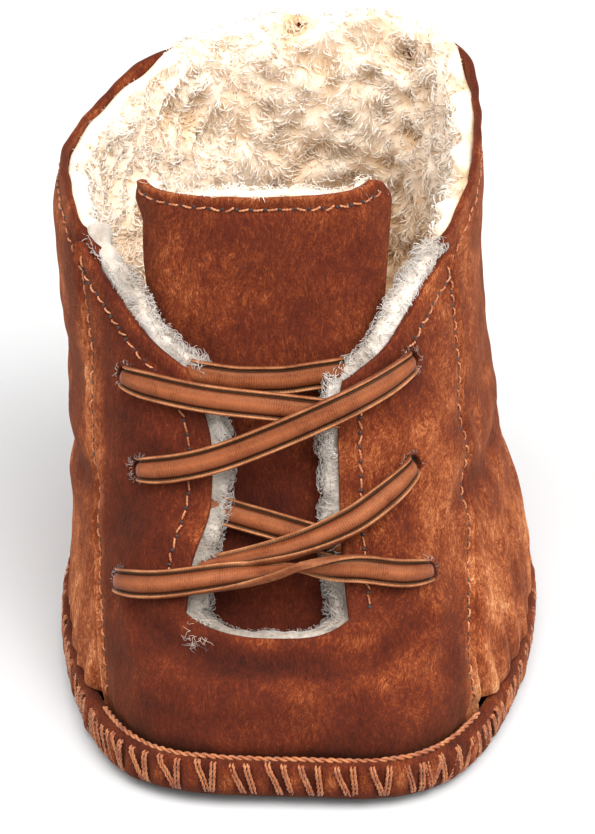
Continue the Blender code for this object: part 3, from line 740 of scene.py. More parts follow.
def shell(name, outer, inner, finish, tone, keep=None, rim_steps=3, bulge=0.5, rim_tone=0.0, growth=None):
    """Closed wall between two grids of points, its cut edges rounded. keep marks the points that are there,
    and growth says how long the wool grows on the outer grid, the inner one and the rim."""
    rows, columns = outer.shape[:2]
    number = np.arange(rows * columns).reshape(rows, columns)
    quads = np.stack((number[:-1, :-1], number[:-1, 1:], number[1:, 1:], number[1:, :-1]), axis=-1)
    quads = quads.reshape(-1, 4)
    if keep is not None:
        quads = quads[keep.ravel()[quads].all(axis=1)]
    used, packed = np.unique(quads, return_inverse=True)
    quads = packed.reshape(-1, 4)
    count = len(used)
    top = outer.reshape(-1, 3)[used]
    low = inner.reshape(-1, 3)[used]

    def on_points(values):
        return np.broadcast_to(values, (rows, columns)).ravel()[used]

    tones = on_points(tone)
    middle = top[quads].mean(axis=1)
    start = quads.ravel()
    end = np.roll(quads, -1, axis=1).ravel()
    owner = np.repeat(np.arange(len(quads)), 4)
    rim = ~np.isin(start * count + end, end * count + start)
    start, end, owner = start[rim], end[rim], owner[rim]
    push = np.zeros((count, 3))
    away = (top[start] + top[end]) / 2 - middle[owner]
    away /= np.linalg.norm(away, axis=1, keepdims=True)
    np.add.at(push, start, away)
    np.add.at(push, end, away)
    edge = np.unique(start)
    depth = top[edge] - low[edge]
    thick = np.linalg.norm(depth, axis=1, keepdims=True)
    depth /= thick
    push = push[edge] - (push[edge] * depth).sum(axis=1, keepdims=True) * depth
    push /= np.linalg.norm(push, axis=1, keepdims=True)
    centre = (top[edge] + low[edge]) / 2
    points = [top, low]
    rings = [dict(zip(edge.tolist(), edge.tolist()))]
    for step in range(1, rim_steps):
        turn = math.pi * step / rim_steps
        points.append(centre + depth * thick / 2 * math.cos(turn) + push * thick / 2 * bulge * math.sin(turn))
        base = 2 * count + (step - 1) * len(edge)
        rings.append({vertex: base + i for i, vertex in enumerate(edge.tolist())})
    rings.append({vertex: vertex + count for vertex in edge.tolist()})
    faces = quads.tolist() + (quads[:, ::-1] + count).tolist()
    for a, b in zip(start.tolist(), end.tolist()):
        for near, far in zip(rings, rings[1:]):
            faces.append((near[b], near[a], far[a], far[b]))
    on_rim = [tones[edge] + rim_tone] * (rim_steps - 1)
    piece = new_piece(name, np.concatenate(points), faces, finish, np.concatenate((tones, tones, *on_rim)))
    if growth is not None:
        outside, inside, round_it = (on_points(values) for values in growth)
        on_rim = [round_it[edge]] * (rim_steps - 1)
        give_tone(piece.data, np.concatenate((outside, inside, *on_rim)), "growth")
    face_out(piece.data)
    return piece


def flap_top(place, side):
    """Height of a flap's upper edge at a share of the way from the throat to the side seam."""
    rise = (NOTCH_HEIGHT - THROAT_TOP_HEIGHT) * place + FLAP_CORNER_LIFT[side] * (1 - place)
    rounded = NOTCH_ROUND * np.clip((place - 0.90) / 0.10, 0, 1) ** 2
    return THROAT_TOP_HEIGHT + rise + FLAP_EDGE_SWELL[side] * np.sin(math.pi * place) - rounded


def vamp_points(over_flap=0.0, over_foot=0.0, fine=1.0):
    """Vamp and flaps as one grid from seam to seam: shares, heights, which points are there, and how far
    each lies from the throat's or the flaps' edge."""
    counts = [round(fine * number) for number in (THROAT_STEPS, FLAP_STEPS, VAMP_ROWS, SHAFT_ROWS)]
    throat_steps, flap_steps, low_rows, high_rows = counts
    half = [("throat", k / throat_steps) for k in range(throat_steps + 1)]
    for t in np.arange(1, flap_steps + 1) / flap_steps:
        half.append(("flap", t - 0.11 * math.sin(2 * math.pi * t)))
    columns = [(-1, *one) for one in half[:0:-1]] + [(1, *one) for one in half]
    up = np.arange(low_rows + high_rows + 1)
    share, height, away = (np.zeros((len(up), len(columns))) for _ in range(3))
    keep = np.ones((len(up), len(columns)), bool)
    for number, (side, part, place) in enumerate(columns):
        corner = place if part == "throat" else 1.0
        split = THROAT_FOOT_HEIGHT + over_foot + THROAT_CORNER_RISE * corner**3
        top = float(flap_top(place if part == "flap" else 0.0, side))
        low_part = UPPER_FOOT_HEIGHT + (split - UPPER_FOOT_HEIGHT) * up / low_rows
        high_part = split + (top - split) * (up - low_rows) / high_rows
        level = height[:, number] = np.where(up <= low_rows, low_part, high_part)
        metres = half_length(level, side)
        edge = throat_share(level, side) - side * over_flap / metres
        seam = seam_share(level, side)
        share[:, number] = edge * place if part == "throat" else edge + (seam - edge) * place
        aside = np.abs(share[:, number] - edge) * metres if part == "flap" else 0 * metres
        below = np.maximum(split - level, 0.0)
        to_edge = np.minimum(aside, 0.8 * (top - level))
        away[:, number] = np.where(level < split, np.hypot(aside, below), to_edge)
        if part == "throat" and place < 1:
            keep[low_rows + 1 :, number] = False
    return share, height, keep, away


def collar_top(place, side):
    """Height of the collar's line at a share of the half round from seam to heel."""
    rise = table_value(COLLAR_EDGE, 1 if side < 0 else 2, place)
    return NOTCH_HEIGHT + (COLLAR_HEIGHT - NOTCH_HEIGHT) * rise


def at_heel(place):
    """0 at the sides of the collar and 1 over the heel, where the wool rolls over the skin's edge."""
    return smooth((0, 0.58, 0.80, 1), (0, 0, 1, 1), place)


def quarter_points(columns, rows, tuck, foot, past_collar=0.0, past_heel=0.0):
    """The quarter as a grid from seam to seam: shares, heights, its top at each column, sides and places."""
    across = np.linspace(-1, 1, columns)
    up = 1 - (1 - np.linspace(0, 1, rows)[:, None]) ** 1.5
    side = np.where(across < 0, 1, -1)
    place = 1 - np.abs(across)
    top = np.where(side > 0, collar_top(place, 1), collar_top(place, -1))
    top = top - HEEL_DIP * at_heel(place) + past_collar + (past_heel - past_collar) * at_heel(place)
    height = foot + (top - foot) * up
    seam = np.where(side > 0, seam_share(height, 1), seam_share(height, -1))
    start = seam - side * tuck / np.where(side > 0, half_length(height, 1), half_length(height, -1))
    return start + (side - start) * place, height, top + 0 * height, side, place


def lean_out(share, height):
    """How the worn shaft stands off the plain last: tucked in under the left collar, fuller lower down."""
    side = np.sign(share)
    past_seam = (np.abs(share) - 0.24) / 0.76
    collar = np.clip((height - 0.064) / 0.012, 0, 1) * np.exp(-(((past_seam - 0.30) / 0.20) ** 2))
    waist = np.exp(-(((height - 0.034) / 0.018) ** 2)) * np.exp(-(((past_seam - 0.25) / 0.28) ** 2))
    cheek = np.exp(-(((height - 0.060) / 0.008) ** 2)) * np.exp(-(((past_seam - 0.20) / 0.20) ** 2))
    return np.where(side < 0, 0.0007 * cheek - 0.0022 * collar, 0.0012 * waist - 0.0006 * collar)


def make_vamp(finish):
    """Vamp and both lace flaps, cut from one skin and lapped over the quarter at the sides."""
    share, height, keep, from_edge = vamp_points()
    seam_left = (share - seam_share(height, -1)) * half_length(height, -1)
    seam_right = (seam_share(height, 1) - share) * half_length(height, 1)
    from_seam = np.minimum(seam_left, seam_right)
    ragged = 0.00016 * swell(on_last(share, height), 0.0022, 31) * np.exp(-from_seam / 0.0008)
    out = SEAM_STEP + skin_relief(share, height) + 0.0005 * np.exp(-from_seam / 0.0006)
    out = out - STITCH_DEPTH * np.exp(-(((from_seam - SEAM_STITCH_INSET) / 0.0007) ** 2))
    on_flap = height > THROAT_FOOT_HEIGHT + THROAT_CORNER_RISE
    out = out - STITCH_DEPTH * on_flap * np.exp(-(((from_edge - FLAP_STITCH_INSET) / 0.0008) ** 2))
    out = out - 0.0004 * np.exp(-from_edge / 0.0009)
    share = share + ragged / half_length(height, 1)
    tone = skin_tone_and_painted_light(share, height) + 0.3 * np.exp(-from_seam / 0.0006) + 0.25 * np.exp(-from_edge / 0.0008)
    outer = on_last(share, height, out)
    inner = on_last(share, height, out - SUEDE)
    return shell("vamp", outer, inner, finish, tone, keep=keep, rim_tone=-0.5)


def make_quarter(finish):
    """The back part from seam to seam: front edges tucked under the vamp, foot flared out over the lip."""
    foot = LIP_HEIGHT + 0.0004
    share, height, top, side, _ = quarter_points(QUARTER_COLUMNS, QUARTER_ROWS, SEAM_TUCK, foot)
    seam = np.where(side > 0, seam_share(height, 1), seam_share(height, -1))
    from_seam = np.abs(share - seam) * half_length(height, 1)
    behind = np.abs(share) > np.abs(seam)
    flare = np.where(behind, np.clip((from_seam + FLARE_LEAD) / FLARE_RUN, 0, 1), 0.0)
    flare = flare * np.exp(-(height - foot) / FLARE_HEIGHT)
    streaks = swell(on_last(share, height) * (1, 1, 0.12), 0.0030, 33)
    out = skin_relief(share, height) + lean_out(share, height) + (LIP_WALL + GAP + 0.0002) * flare
    out = out + 0.00014 * streaks * flare - 0.0008 * np.where(behind, np.exp(-from_seam / 0.0007), 1.0)
    out = out - STITCH_DEPTH * np.exp(-(((top - height - COLLAR_STITCH_INSET) / 0.0008) ** 2))
    # Painted shade in the dip along each side seam, where the quarter runs under the vamp's lapped edge
    tone = skin_tone_and_painted_light(share, height) - 0.5 * np.exp(-from_seam / 0.0008) + 0.35 * streaks * flare
    outer = on_last(share, height, out)
    inner = on_last(share, height, out - SUEDE)
    return shell("quarter", outer, inner, finish, tone, rim_tone=-0.4)


def wool_relief(points, seed, size=0.0052, depth=0.0009):
    """Soft clumps with creases between them."""
    clumps = 1 - np.abs(swell(points, size, seed)) * 1.4
    return depth * clumps + 0.35 * depth * swell(points, size * 0.45, seed + 1)


def make_lining(finish, clipped):
    """The wool of vamp and quarter, inside the skin and standing past its cut edges."""
    share, height, keep, from_edge = vamp_points(WOOL_OVER_FLAP, 0.0004, fine=0.6)
    height = height + 0.0012 * np.clip((height - THROAT_TOP_HEIGHT) / 0.006, 0, 1)
    behind = on_last(share, height, -SUEDE * 0.6)
    inside = on_last(share, height, -UPPER_WALL)
    outer = on_last(share, height, np.minimum(-0.0010 + 0.3 * wool_relief(behind, 45), -0.0004))
    inner = on_last(share, height, -UPPER_WALL + 0.0004 - wool_relief(inside, 41))
    # Darker low down inside the boot: partly painted shade, partly the wool's own darker tan
    low = np.clip((0.040 - height) / 0.016, 0, 1)
    tone = 0.25 + 0.2 * swell(inside, 0.012, 47) - 0.45 * low
    above_foot = np.clip((from_edge + height - 0.012) / 0.006, 0, 1)
    shown = np.clip(1.3 - from_edge / WOOL_OVER_FLAP, 0, 1) * above_foot
    within = np.clip((height - 0.040) / 0.008, 0, 1) * 0.55
    at_foot = 1 - 0.5 * np.clip((0.0235 - height) / 0.002, 0, 1)
    on_front = np.clip((0.0262 - np.abs(behind[..., 0])) / 0.001 + (height > 0.055), 0, 1)
    rim = at_foot * (height > 0.019) * on_front
    flaps = shell(
        "flap_wool", outer, inner, clipped, tone, keep=keep, rim_steps=6, bulge=0.8, rim_tone=-0.35,
        growth=(shown * at_foot, np.maximum(within, shown * 0.6), rim),
    )
    share, height, top, _, place = quarter_points(
        150, 60, 0.003, UPPER_FOOT_HEIGHT, WOOL_OVER_COLLAR, WOOL_OVER_HEEL
    )
    waves = 0.0005 * swell(on_last(share, height), 0.012, 51)
    height = height + waves * np.clip((height - 0.06) / 0.01, 0, 1)
    heel = at_heel(place)
    roll = np.clip(1 - (top - height) / 0.003, 0, 1) * heel
    inside = on_last(share, height, -UPPER_WALL)
    lean = lean_out(share, height)
    lumps = wool_relief(inside, 43, size=LUMP_SIZE, depth=LUMP_DEPTH)
    outer = on_last(share, height, -SUEDE - 0.0001 + 0.0012 * roll + lean)
    inner = on_last(share, height, -UPPER_WALL + 0.0006 - lumps + 0.0008 * roll + lean)
    # Darker in the creases between the clumps: painted shade. Darker low down inside the collar: partly painted
    # shade, partly the wool's own darker tan
    deep_tan_and_shade = np.clip((0.060 - height) / 0.034, 0, 1)
    tone = 0.15 * swell(inside, 0.014, 48) + 0.45 * (lumps / LUMP_DEPTH - 0.35) - 1.1 * deep_tan_and_shade
    within = np.clip((height - 0.030) / 0.010, 0, 1)
    past = np.clip(1.2 - (top - height) / (WOOL_OVER_HEEL + 0.0008), 0, 1) * heel
    collar = shell(
        "quarter_wool", outer, inner, finish, tone, rim_steps=7, bulge=0.5, rim_tone=-0.3,
        growth=(past, within, 0.35 * within + 0.55 * heel),
    )
    return flaps, collar


def tongue_side(height, side):
    """Share round the last where the tongue's edge runs, with its top corner rounded off."""
    half = TONGUE_HALF_WIDTH * float(table_value(TONGUE_SIDES, 1, height / COLLAR_HEIGHT))
    start = TONGUE_SPREAD_START[side]
    way_up = (height - start) / (TONGUE_HEIGHT - TONGUE_CORNER - start)
    half += TONGUE_SPREAD[side] * min(1.0, max(0.0, way_up))
    corner = TONGUE_CORNER if side > 0 else TONGUE_CORNER / 2
    above = np.clip((height - TONGUE_HEIGHT) / corner + 1, 0, 1)
    return front_share(side * (half - corner * (1 - math.sqrt(1 - above * above))), height)


def tongue_grid(rows, columns):
    """Shares, heights and the front face's distance out, over the tongue."""
    turn = np.linspace(0, math.pi / 2, 13)[1:]
    straight = np.linspace(TONGUE_FOOT_HEIGHT, TONGUE_HEIGHT - TONGUE_CORNER, rows - len(turn))
    level = np.concatenate((straight, TONGUE_HEIGHT - TONGUE_CORNER * (1 - np.sin(turn))))
    across = np.linspace(-1, 1, columns)
    left = np.array([tongue_side(h, -1) for h in level])[:, None]
    right = np.array([tongue_side(h, 1) for h in level])[:, None]
    share = left + (right - left) * (across + 1) / 2
    height = np.repeat(level[:, None], columns, axis=1)
    return share, height, tongue_face(across, height), across


def tongue_face(across, height):
    """How far out from the last the tongue's front lies: it bows back at both sides."""
    rise = np.clip((height - THROAT_FOOT_HEIGHT) / (TONGUE_HEIGHT - THROAT_FOOT_HEIGHT), 0, 1)
    return -UPPER_WALL - GAP - TONGUE_BOW * across**2 * rise**2


def tongue_dip(across, height):
    """How far the tongue's top stands off its plain height: it sags at its middle and tilts to one side."""
    top = np.clip((height - 0.066) / 0.012, 0, 1)
    return top * (TONGUE_TILT * across - 0.0004 * np.exp(-(((across + 0.1) / 0.4) ** 2)))


def make_tongue(suede, wool):
    """Tongue: skin to the front, wool behind it that stands above its top edge."""
    share, height, face, across = tongue_grid(80, 60)
    plain = on_last(share, height, face)
    relief = 0.00025 * swell(plain, 0.013, 61) + 0.0001 * swell(plain, 0.005, 62)
    below = TONGUE_HEIGHT - height
    relief = relief - STITCH_DEPTH * np.exp(-(((below - TONGUE_STITCH_INSET) / 0.0007) ** 2))
    dip = tongue_dip(across, height)
    # Darker towards the tongue's foot, down between the flaps: painted shade
    tone = 0.2 * swell(plain, 0.015, 63) - 0.45 * np.clip((0.054 - height) / 0.02, 0, 1)
    tone = tone + 0.5 * np.exp(-below / 0.0008)
    outer = on_last(share, height + dip, face + relief)
    inner = on_last(share, height + dip, face + relief - SUEDE)
    skin = shell("tongue_skin", outer, inner, suede, tone, rim_tone=-0.1)
    share, height, face, across = tongue_grid(60, 44)
    above = np.clip((height - 0.066) / 0.012, 0, 1)
    height = height + tongue_dip(across, height)
    height = height + above * (WOOL_OVER_TONGUE * np.exp(-(((across - 0.02) / 0.55) ** 4)) - 0.0010)
    plain = on_last(share, height, face - TONGUE_THICKNESS)
    outer = on_last(share, height, face - SUEDE + 0.0001)
    inner = on_last(share, height, face - TONGUE_THICKNESS - wool_relief(plain, 65) + 0.0003)
    shown = np.clip(1.1 - (height.max(axis=0) - height) / 0.0016, 0, 1) * above
    back = np.clip((height - 0.045) / 0.010, 0, 1)
    fleece = shell(
        "tongue_wool", outer, inner, wool, 0.2 + 0 * height, rim_steps=6, bulge=0.6,
        growth=(shown, back, np.clip((height - 0.066) / 0.006, 0, 1)),
    )
    return skin, fleece


def whip_dent(way, height):
    """How the lip's skin is drawn in under each pair of threads and puffs up between them."""
    phase = (way / WHIP_PITCH) % 1
    pull = sum(np.exp(-(((phase - middle) / 0.09) ** 2)) for middle in (0.41, 0.74))
    puff = 0.5 + 0.5 * np.cos(2 * math.pi * (phase - 0.095))
    middle = np.clip(1 - ((height - LIP_HEIGHT / 2) / (LIP_HEIGHT / 2)) ** 2, 0, 1)
    return middle * (0.00045 * puff - 0.00030 * pull)


LIP_SHARES = np.linspace(-1, 1, 721)[:-1]


def lip_way():
    """Metres round the lip's outer face at each of its columns, from the heel's middle."""
    ring = on_last(LIP_SHARES, np.full(720, LIP_HEIGHT / 2), np.full(720, RIM), level=True)
    steps = np.linalg.norm(np.diff(np.concatenate((ring, ring[:1])), axis=0), axis=1)
    return np.concatenate(([0.0], np.cumsum(steps)[:-1])), steps.sum()


def make_outsole(finish):
    """Soft outsole, its edge turned up round the foot and puffed between the stitches."""
    outside = GAP + LIP_WALL
    way, total = lip_way()
    way = way * (round(total / WHIP_PITCH) * WHIP_PITCH / total)
    turn = np.linspace(0, math.pi / 2, 6)
    profile = [(outside - 5 * LIP_ROUND, 0.0), (outside - 3 * LIP_ROUND, 0.0)]
    profile += [
        (outside - 1.5 * LIP_ROUND * (1 - math.sin(a)), 1.6 * LIP_ROUND * (1 - math.cos(a))) for a in turn
    ]
    upright = np.linspace(1.9 * LIP_ROUND, LIP_HEIGHT - 1.1 * LIP_ROUND, 10)
    profile += [(outside, height) for height in upright]
    profile += [
        (outside - LIP_ROUND * (1 - math.cos(a)), LIP_HEIGHT - LIP_ROUND * (1 - math.sin(a))) for a in turn
    ]
    profile += [(GAP + 0.3 * LIP_ROUND, LIP_HEIGHT - 0.2 * LIP_ROUND), (GAP, LIP_HEIGHT - 0.7 * LIP_ROUND)]
    profile += [(GAP, SOLE_THICKNESS), (GAP - UPPER_WALL, SOLE_THICKNESS)]
    rings, tones = [], []
    for number, (out, height) in enumerate(profile):
        level = np.full(720, height)
        dent = whip_dent(way, level) if out > outside - LIP_ROUND else 0 * level
        plain = on_last(LIP_SHARES, level, SEAM_STEP + out + 0 * level, level=True)
        lumpy = 0.00016 * swell(plain, 0.006, 71) if 0 < number < len(profile) - 4 else 0 * level
        rings.append(on_last(LIP_SHARES, level, SEAM_STEP + out + dent + lumpy, level=True))
        # Darker towards the floor: painted shade. Lighter on the puffs between the stitches and darker where
        # the thread draws the lip in: painted highlight and shade
        low = -0.6 * np.clip(1 - height / 0.0030, 0, 1)
        tones.append(low + 0.25 * swell(plain, 0.008, 72) - 0.25 + dent / 0.0006)
    count, rows = 720, len(rings)
    points = np.concatenate(rings)
    faces = []
    for row in range(rows - 1):
        for i in range(count):
            j = (i + 1) % count
            faces.append((row * count + i, row * count + j, (row + 1) * count + j, (row + 1) * count + i))
    for row in (0, rows - 1):
        for i in range(count // 2):
            corners = [i, i + 1, (count - i - 1) % count, (count - i) % count]
            corners = [row * count + c for c in dict.fromkeys(corners)]
            faces.append(corners if row else corners[::-1])
    piece = new_piece("outsole", points, faces, finish, np.concatenate(tones))
    face_out(piece.data)
    return piece


def make_insole(finish):
    """Wool sock on the insole, uneven where it was clipped."""
    columns, rows = 60, 96
    edge = -UPPER_WALL - SEAM_STEP - GAP
    top_height = UPPER_FOOT_HEIGHT + INSOLE_THICKNESS
    along = np.linspace(0.012, 0.988, rows)[:, None]
    left = on_last(-along, top_height + 0 * along, edge + 0 * along, level=True)
    right = on_last(along, top_height + 0 * along, edge + 0 * along, level=True)
    across = np.linspace(0, 1, columns)[None, :, None]
    plain = left * (1 - across) + right * across
    top = plain.copy()
    top[..., 2] += wool_relief(plain, 81, size=0.005, depth=0.0006) - 0.0002
    bottom = plain.copy()
    bottom[..., 2] = np.maximum(plain[..., 2] - INSOLE_THICKNESS, UPPER_FOOT_HEIGHT)
    tone = -0.5 + 0.2 * swell(plain, 0.012, 83)
    return shell("insole_wool", top, bottom, finish, tone, rim_steps=5, bulge=0.4, growth=(1.0, 0.0, 0.0))


def eyelet_place(name):
    """Share and height of an eyelet on the last."""
    aside, height = EYELETS[name]
    height *= COLLAR_HEIGHT
    return front_share(aside * SEAM_HALF_WIDTH, height), height


def punch_eyelets(pieces):
    """Six round holes punched square through the flaps and their wool."""
    cutters = []
    for name in EYELETS:
        share, height = eyelet_place(name)
        work = bmesh.new()
        bmesh.ops.create_cone(
            work, cap_ends=True, segments=20,
            radius1=EYELET_RADIUS, radius2=EYELET_RADIUS, depth=3 * UPPER_WALL,
        )
        turn = Vector(outward(share, height)).to_track_quat("Z", "Y").to_matrix().to_4x4()
        work.transform(Matrix.Translation(Vector(on_last(share, height, -UPPER_WALL / 2))) @ turn)
        data = bpy.data.meshes.new("hole_" + name)
        work.to_mesh(data)
        work.free()
        cutter = bpy.data.objects.new("hole_" + name, data)
        bpy.context.scene.collection.objects.link(cutter)
        cutters.append(cutter)
    for piece in pieces:
        for cutter in cutters:
            cut = piece.modifiers.new(cutter.name, "BOOLEAN")
            cut.operation = "DIFFERENCE"
            cut.solver = "EXACT"
            cut.object = cutter
        settle(piece)
    for cutter in cutters:
        bpy.data.objects.remove(cutter, do_unlink=True)


def settle(piece):
    """Turns a piece's modifiers into its plain mesh."""
    data = bpy.data.meshes.new_from_object(piece.evaluated_get(bpy.context.evaluated_depsgraph_get()))
    piece.modifiers.clear()
    old = piece.data
    piece.data = data
    data.name = piece.name
    bpy.data.meshes.remove(old)


def tube(path, radius, sides=6):
    """Points and faces of a round tube along a path, its ends drawn to a point."""
    path = np.asarray(path, float)
    radius = np.broadcast_to(np.asarray(radius, float), len(path))
    ahead = np.gradient(path, axis=0)
    ahead /= np.linalg.norm(ahead, axis=1, keepdims=True)
    side = np.cross(ahead[0], (0.31, 0.22, 0.92))
    frames = []
    for way in ahead:
        side = side - way * (side @ way)
        side /= np.linalg.norm(side)
        frames.append((side, np.cross(way, side)))
    turn = np.linspace(0, 2 * math.pi, sides, endpoint=False)
    points = np.concatenate(
        [
            p + r * (np.cos(turn)[:, None] * a + np.sin(turn)[:, None] * b)
            for p, r, (a, b) in zip(path, radius, frames)
        ]
    )
    faces = []
    rows = len(path)
    for row in range(rows - 1):
        low, high = row * sides, (row + 1) * sides
        for i in range(sides):
            j = (i + 1) % sides
            faces.append((low + i, low + j, high + j, high + i))
    faces.append(tuple(range(sides))[::-1])
    faces.append(tuple((rows - 1) * sides + i for i in range(sides)))
    return points, faces


def joined(parts):
    """Several point and face lists as one."""
    points, faces, base = [], [], 0
    for some, their in parts:
        points.append(some)
        faces += [tuple(base + i for i in face) for face in their]
        base += len(some)
    return np.concatenate(points), faces


def plied(path, ply_radius, bundle, pitch, plies=2, sides=5, turn=0.0):
    """Threads twisted round each other along a path."""
    path = np.asarray(path, float)
    steps = np.linalg.norm(np.diff(path, axis=0), axis=1)
    way = np.concatenate(([0.0], np.cumsum(steps)))
    ahead = np.gradient(path, axis=0)
    ahead /= np.linalg.norm(ahead, axis=1, keepdims=True)
    side = np.cross(ahead[0], (0.31, 0.22, 0.92))
    sides_way = []
    for one in ahead:
        side = side - one * (side @ one)
        side /= np.linalg.norm(side)
        sides_way.append(side)
    sides_way = np.array(sides_way)
    up = np.cross(ahead, sides_way)
    radius = np.full(len(path), ply_radius)
    parts = []
    for ply in range(plies):
        angle = (2 * math.pi * (way / pitch + ply / plies) + turn)[:, None]
        line = path + bundle * (np.cos(angle) * sides_way + np.sin(angle) * up)
        parts.append(tube(line, radius, sides))
    return joined(parts)


def unit_collection(name, units):
    """Small shapes kept out of the scene, for a tree to pick from."""
    kept = bpy.data.collections.new(name)
    for number, (points, faces) in enumerate(units):
        data = bpy.data.meshes.new(f"{name}_{number}")
        data.from_pydata(np.asarray(points).tolist(), [], faces)
        data.shade_smooth()
        kept.objects.link(bpy.data.objects.new(f"{name}_{number}", data))
    return kept


def new_tree(name, sockets):
    """A geometry tree with named inputs, and its input and output nodes."""
    tree = bpy.data.node_groups.new(name, "GeometryNodeTree")
    for label, kind in sockets:
        tree.interface.new_socket(label, in_out="INPUT", socket_type=kind)
    tree.interface.new_socket("Geometry", in_out="OUTPUT", socket_type="NodeSocketGeometry")
    return tree, add(tree, "NodeGroupInput").outputs, add(tree, "NodeGroupOutput").inputs


def grow_tree():
    """Fibres grown on a surface in swirls: where the growth value is 1 they are full length."""
    tree, given, result = new_tree(
        "fibres_on_a_surface",
        (
            ("Geometry", "NodeSocketGeometry"),
            ("Fibres", "NodeSocketCollection"),
            ("Kinds", "NodeSocketInt"),
            ("Density", "NodeSocketFloat"),
            ("Swirl", "NodeSocketFloat"),
            ("Spread", "NodeSocketFloat"),
            ("Least", "NodeSocketFloat"),
            ("Most", "NodeSocketFloat"),
            ("Seed", "NodeSocketInt"),
            ("Finish", "NodeSocketMaterial"),
        ),
    )
    growth = add(tree, "GeometryNodeInputNamedAttribute", {"Name": "growth"}, data_type="FLOAT").outputs[0]
    density = add(tree, "ShaderNodeMath", {0: growth, 1: given["Density"]}, operation="MULTIPLY")
    points = add(
        tree, "GeometryNodeDistributePointsOnFaces",
        {"Mesh": given["Geometry"], "Density": density.outputs[0], "Seed": given["Seed"]},
        distribute_method="RANDOM",
    )
    place = add(tree, "GeometryNodeInputPosition")
    scale = add(tree, "ShaderNodeMath", {0: 1.0, 1: given["Swirl"]}, operation="DIVIDE")
    swirl = add(
        tree, "ShaderNodeTexNoise", {"Vector": place.outputs[0], "Scale": scale.outputs[0], "Detail": 1.0}
    )
    stray = add(
        tree, "FunctionNodeRandomValue", {2: -1.0, 3: 1.0, "Seed": given["Seed"]}, data_type="FLOAT"
    )
    stray = add(tree, "ShaderNodeMath", {0: stray.outputs[1], 1: given["Spread"]}, operation="MULTIPLY")
    angle = add(
        tree, "ShaderNodeMath", {0: swirl.outputs[0], 1: 8 * math.pi, 2: stray.outputs[0]},
        operation="MULTIPLY_ADD",
    )
    turn = add(tree, "ShaderNodeCombineXYZ", {2: angle.outputs[0]})
    turn = add(tree, "FunctionNodeEulerToRotation", {0: turn.outputs[0]})
    turned = add(
        tree, "FunctionNodeRotateRotation",
        {"Rotation": points.outputs["Rotation"], "Rotate By": turn.outputs[0]}, rotation_space="LOCAL",
    )
    size = add(
        tree, "FunctionNodeRandomValue",
        {2: given["Least"], 3: given["Most"], "Seed": given["Seed"]}, data_type="FLOAT",
    )
    size = add(tree, "ShaderNodeMath", {0: size.outputs[1], 1: growth}, operation="MULTIPLY")
    last = add(tree, "ShaderNodeMath", {0: given["Kinds"], 1: 1.0}, operation="SUBTRACT")
    pick = add(
        tree, "FunctionNodeRandomValue", {4: 0, 5: last.outputs[0], "Seed": given["Seed"]}, data_type="INT",
    )
    kinds = add(
        tree, "GeometryNodeCollectionInfo",
        {"Collection": given["Fibres"], "Separate Children": True, "Reset Children": True},
    )
    placed = add(
        tree, "GeometryNodeInstanceOnPoints",
        {
            "Points": points.outputs["Points"], "Instance": kinds.outputs[0], "Pick Instance": True,
            "Instance Index": pick.outputs[2], "Rotation": turned.outputs[0], "Scale": size.outputs[0],
        },
    )
    real = add(tree, "GeometryNodeRealizeInstances", {0: placed.outputs[0]})
    done = add(tree, "GeometryNodeSetMaterial", {"Geometry": real.outputs[0], "Material": given["Finish"]})
    tree.links.new(done.outputs[0], result[0])
    return tree


def run_tree(name, tree, base, values):
    """A plain mesh object from a tree run on a base mesh."""
    worker = bpy.data.objects.new(name + "_base", base)
    bpy.context.scene.collection.objects.link(worker)
    modifier = worker.modifiers.new(name, "NODES")
    modifier.node_group = tree
    for item in tree.interface.items_tree:
        if item.item_type == "SOCKET" and item.in_out == "INPUT" and item.name in values:
            modifier[item.identifier] = values[item.name]
    data = bpy.data.meshes.new_from_object(worker.evaluated_get(bpy.context.evaluated_depsgraph_get()))
    data.name = name
    bpy.data.objects.remove(worker, do_unlink=True)
    data.shade_smooth()
    piece = bpy.data.objects.new(name, data)
    bpy.context.scene.collection.objects.link(piece)
    return piece


def grown(name, data, fibres, kinds, finish, density, seed, least=0.7, most=1.2, swirl=0.010, spread=1.0):
    """Fibres grown over a bed's mesh."""
    values = {
        "Fibres": fibres, "Kinds": kinds, "Density": density, "Swirl": swirl, "Spread": spread,
        "Least": least, "Most": most, "Seed": seed, "Finish": finish,
    }
    return run_tree(name, GROW, data, values)


def wool_fibre(length, width, lean, curl, turn):
    """One lock of crimped wool: rises from its root, leans over along +X, curls and ends in a point."""
    t = np.linspace(0, 1, 4)
    x = length * lean * t**1.5
    z = length * (1 - 0.55 * lean) * np.sin(t * math.pi * (0.5 + 0.28 * lean)) * 0.8
    y = length * curl * np.sin(t * math.pi * 1.6 + turn) * t
    path = np.stack((x, y - y[0], z), axis=1)
    points, faces = tube(path, width / 2 * np.array((0.75, 1.0, 0.85, 0.12)), sides=3)
    return points, faces


def stitch_unit(length, rise, skew):
    """One topstitch: a two ply thread that comes up out of its hole, lies over and goes down."""
    t = np.linspace(-1, 1, 9)
    path = np.stack((t * length / 2, skew * t, rise * (1 - t**4) - 0.00030 * np.abs(t) ** 6), axis=1)
    return plied(path, THREAD * 0.27, THREAD * 0.22, 0.0010, plies=2, sides=4)


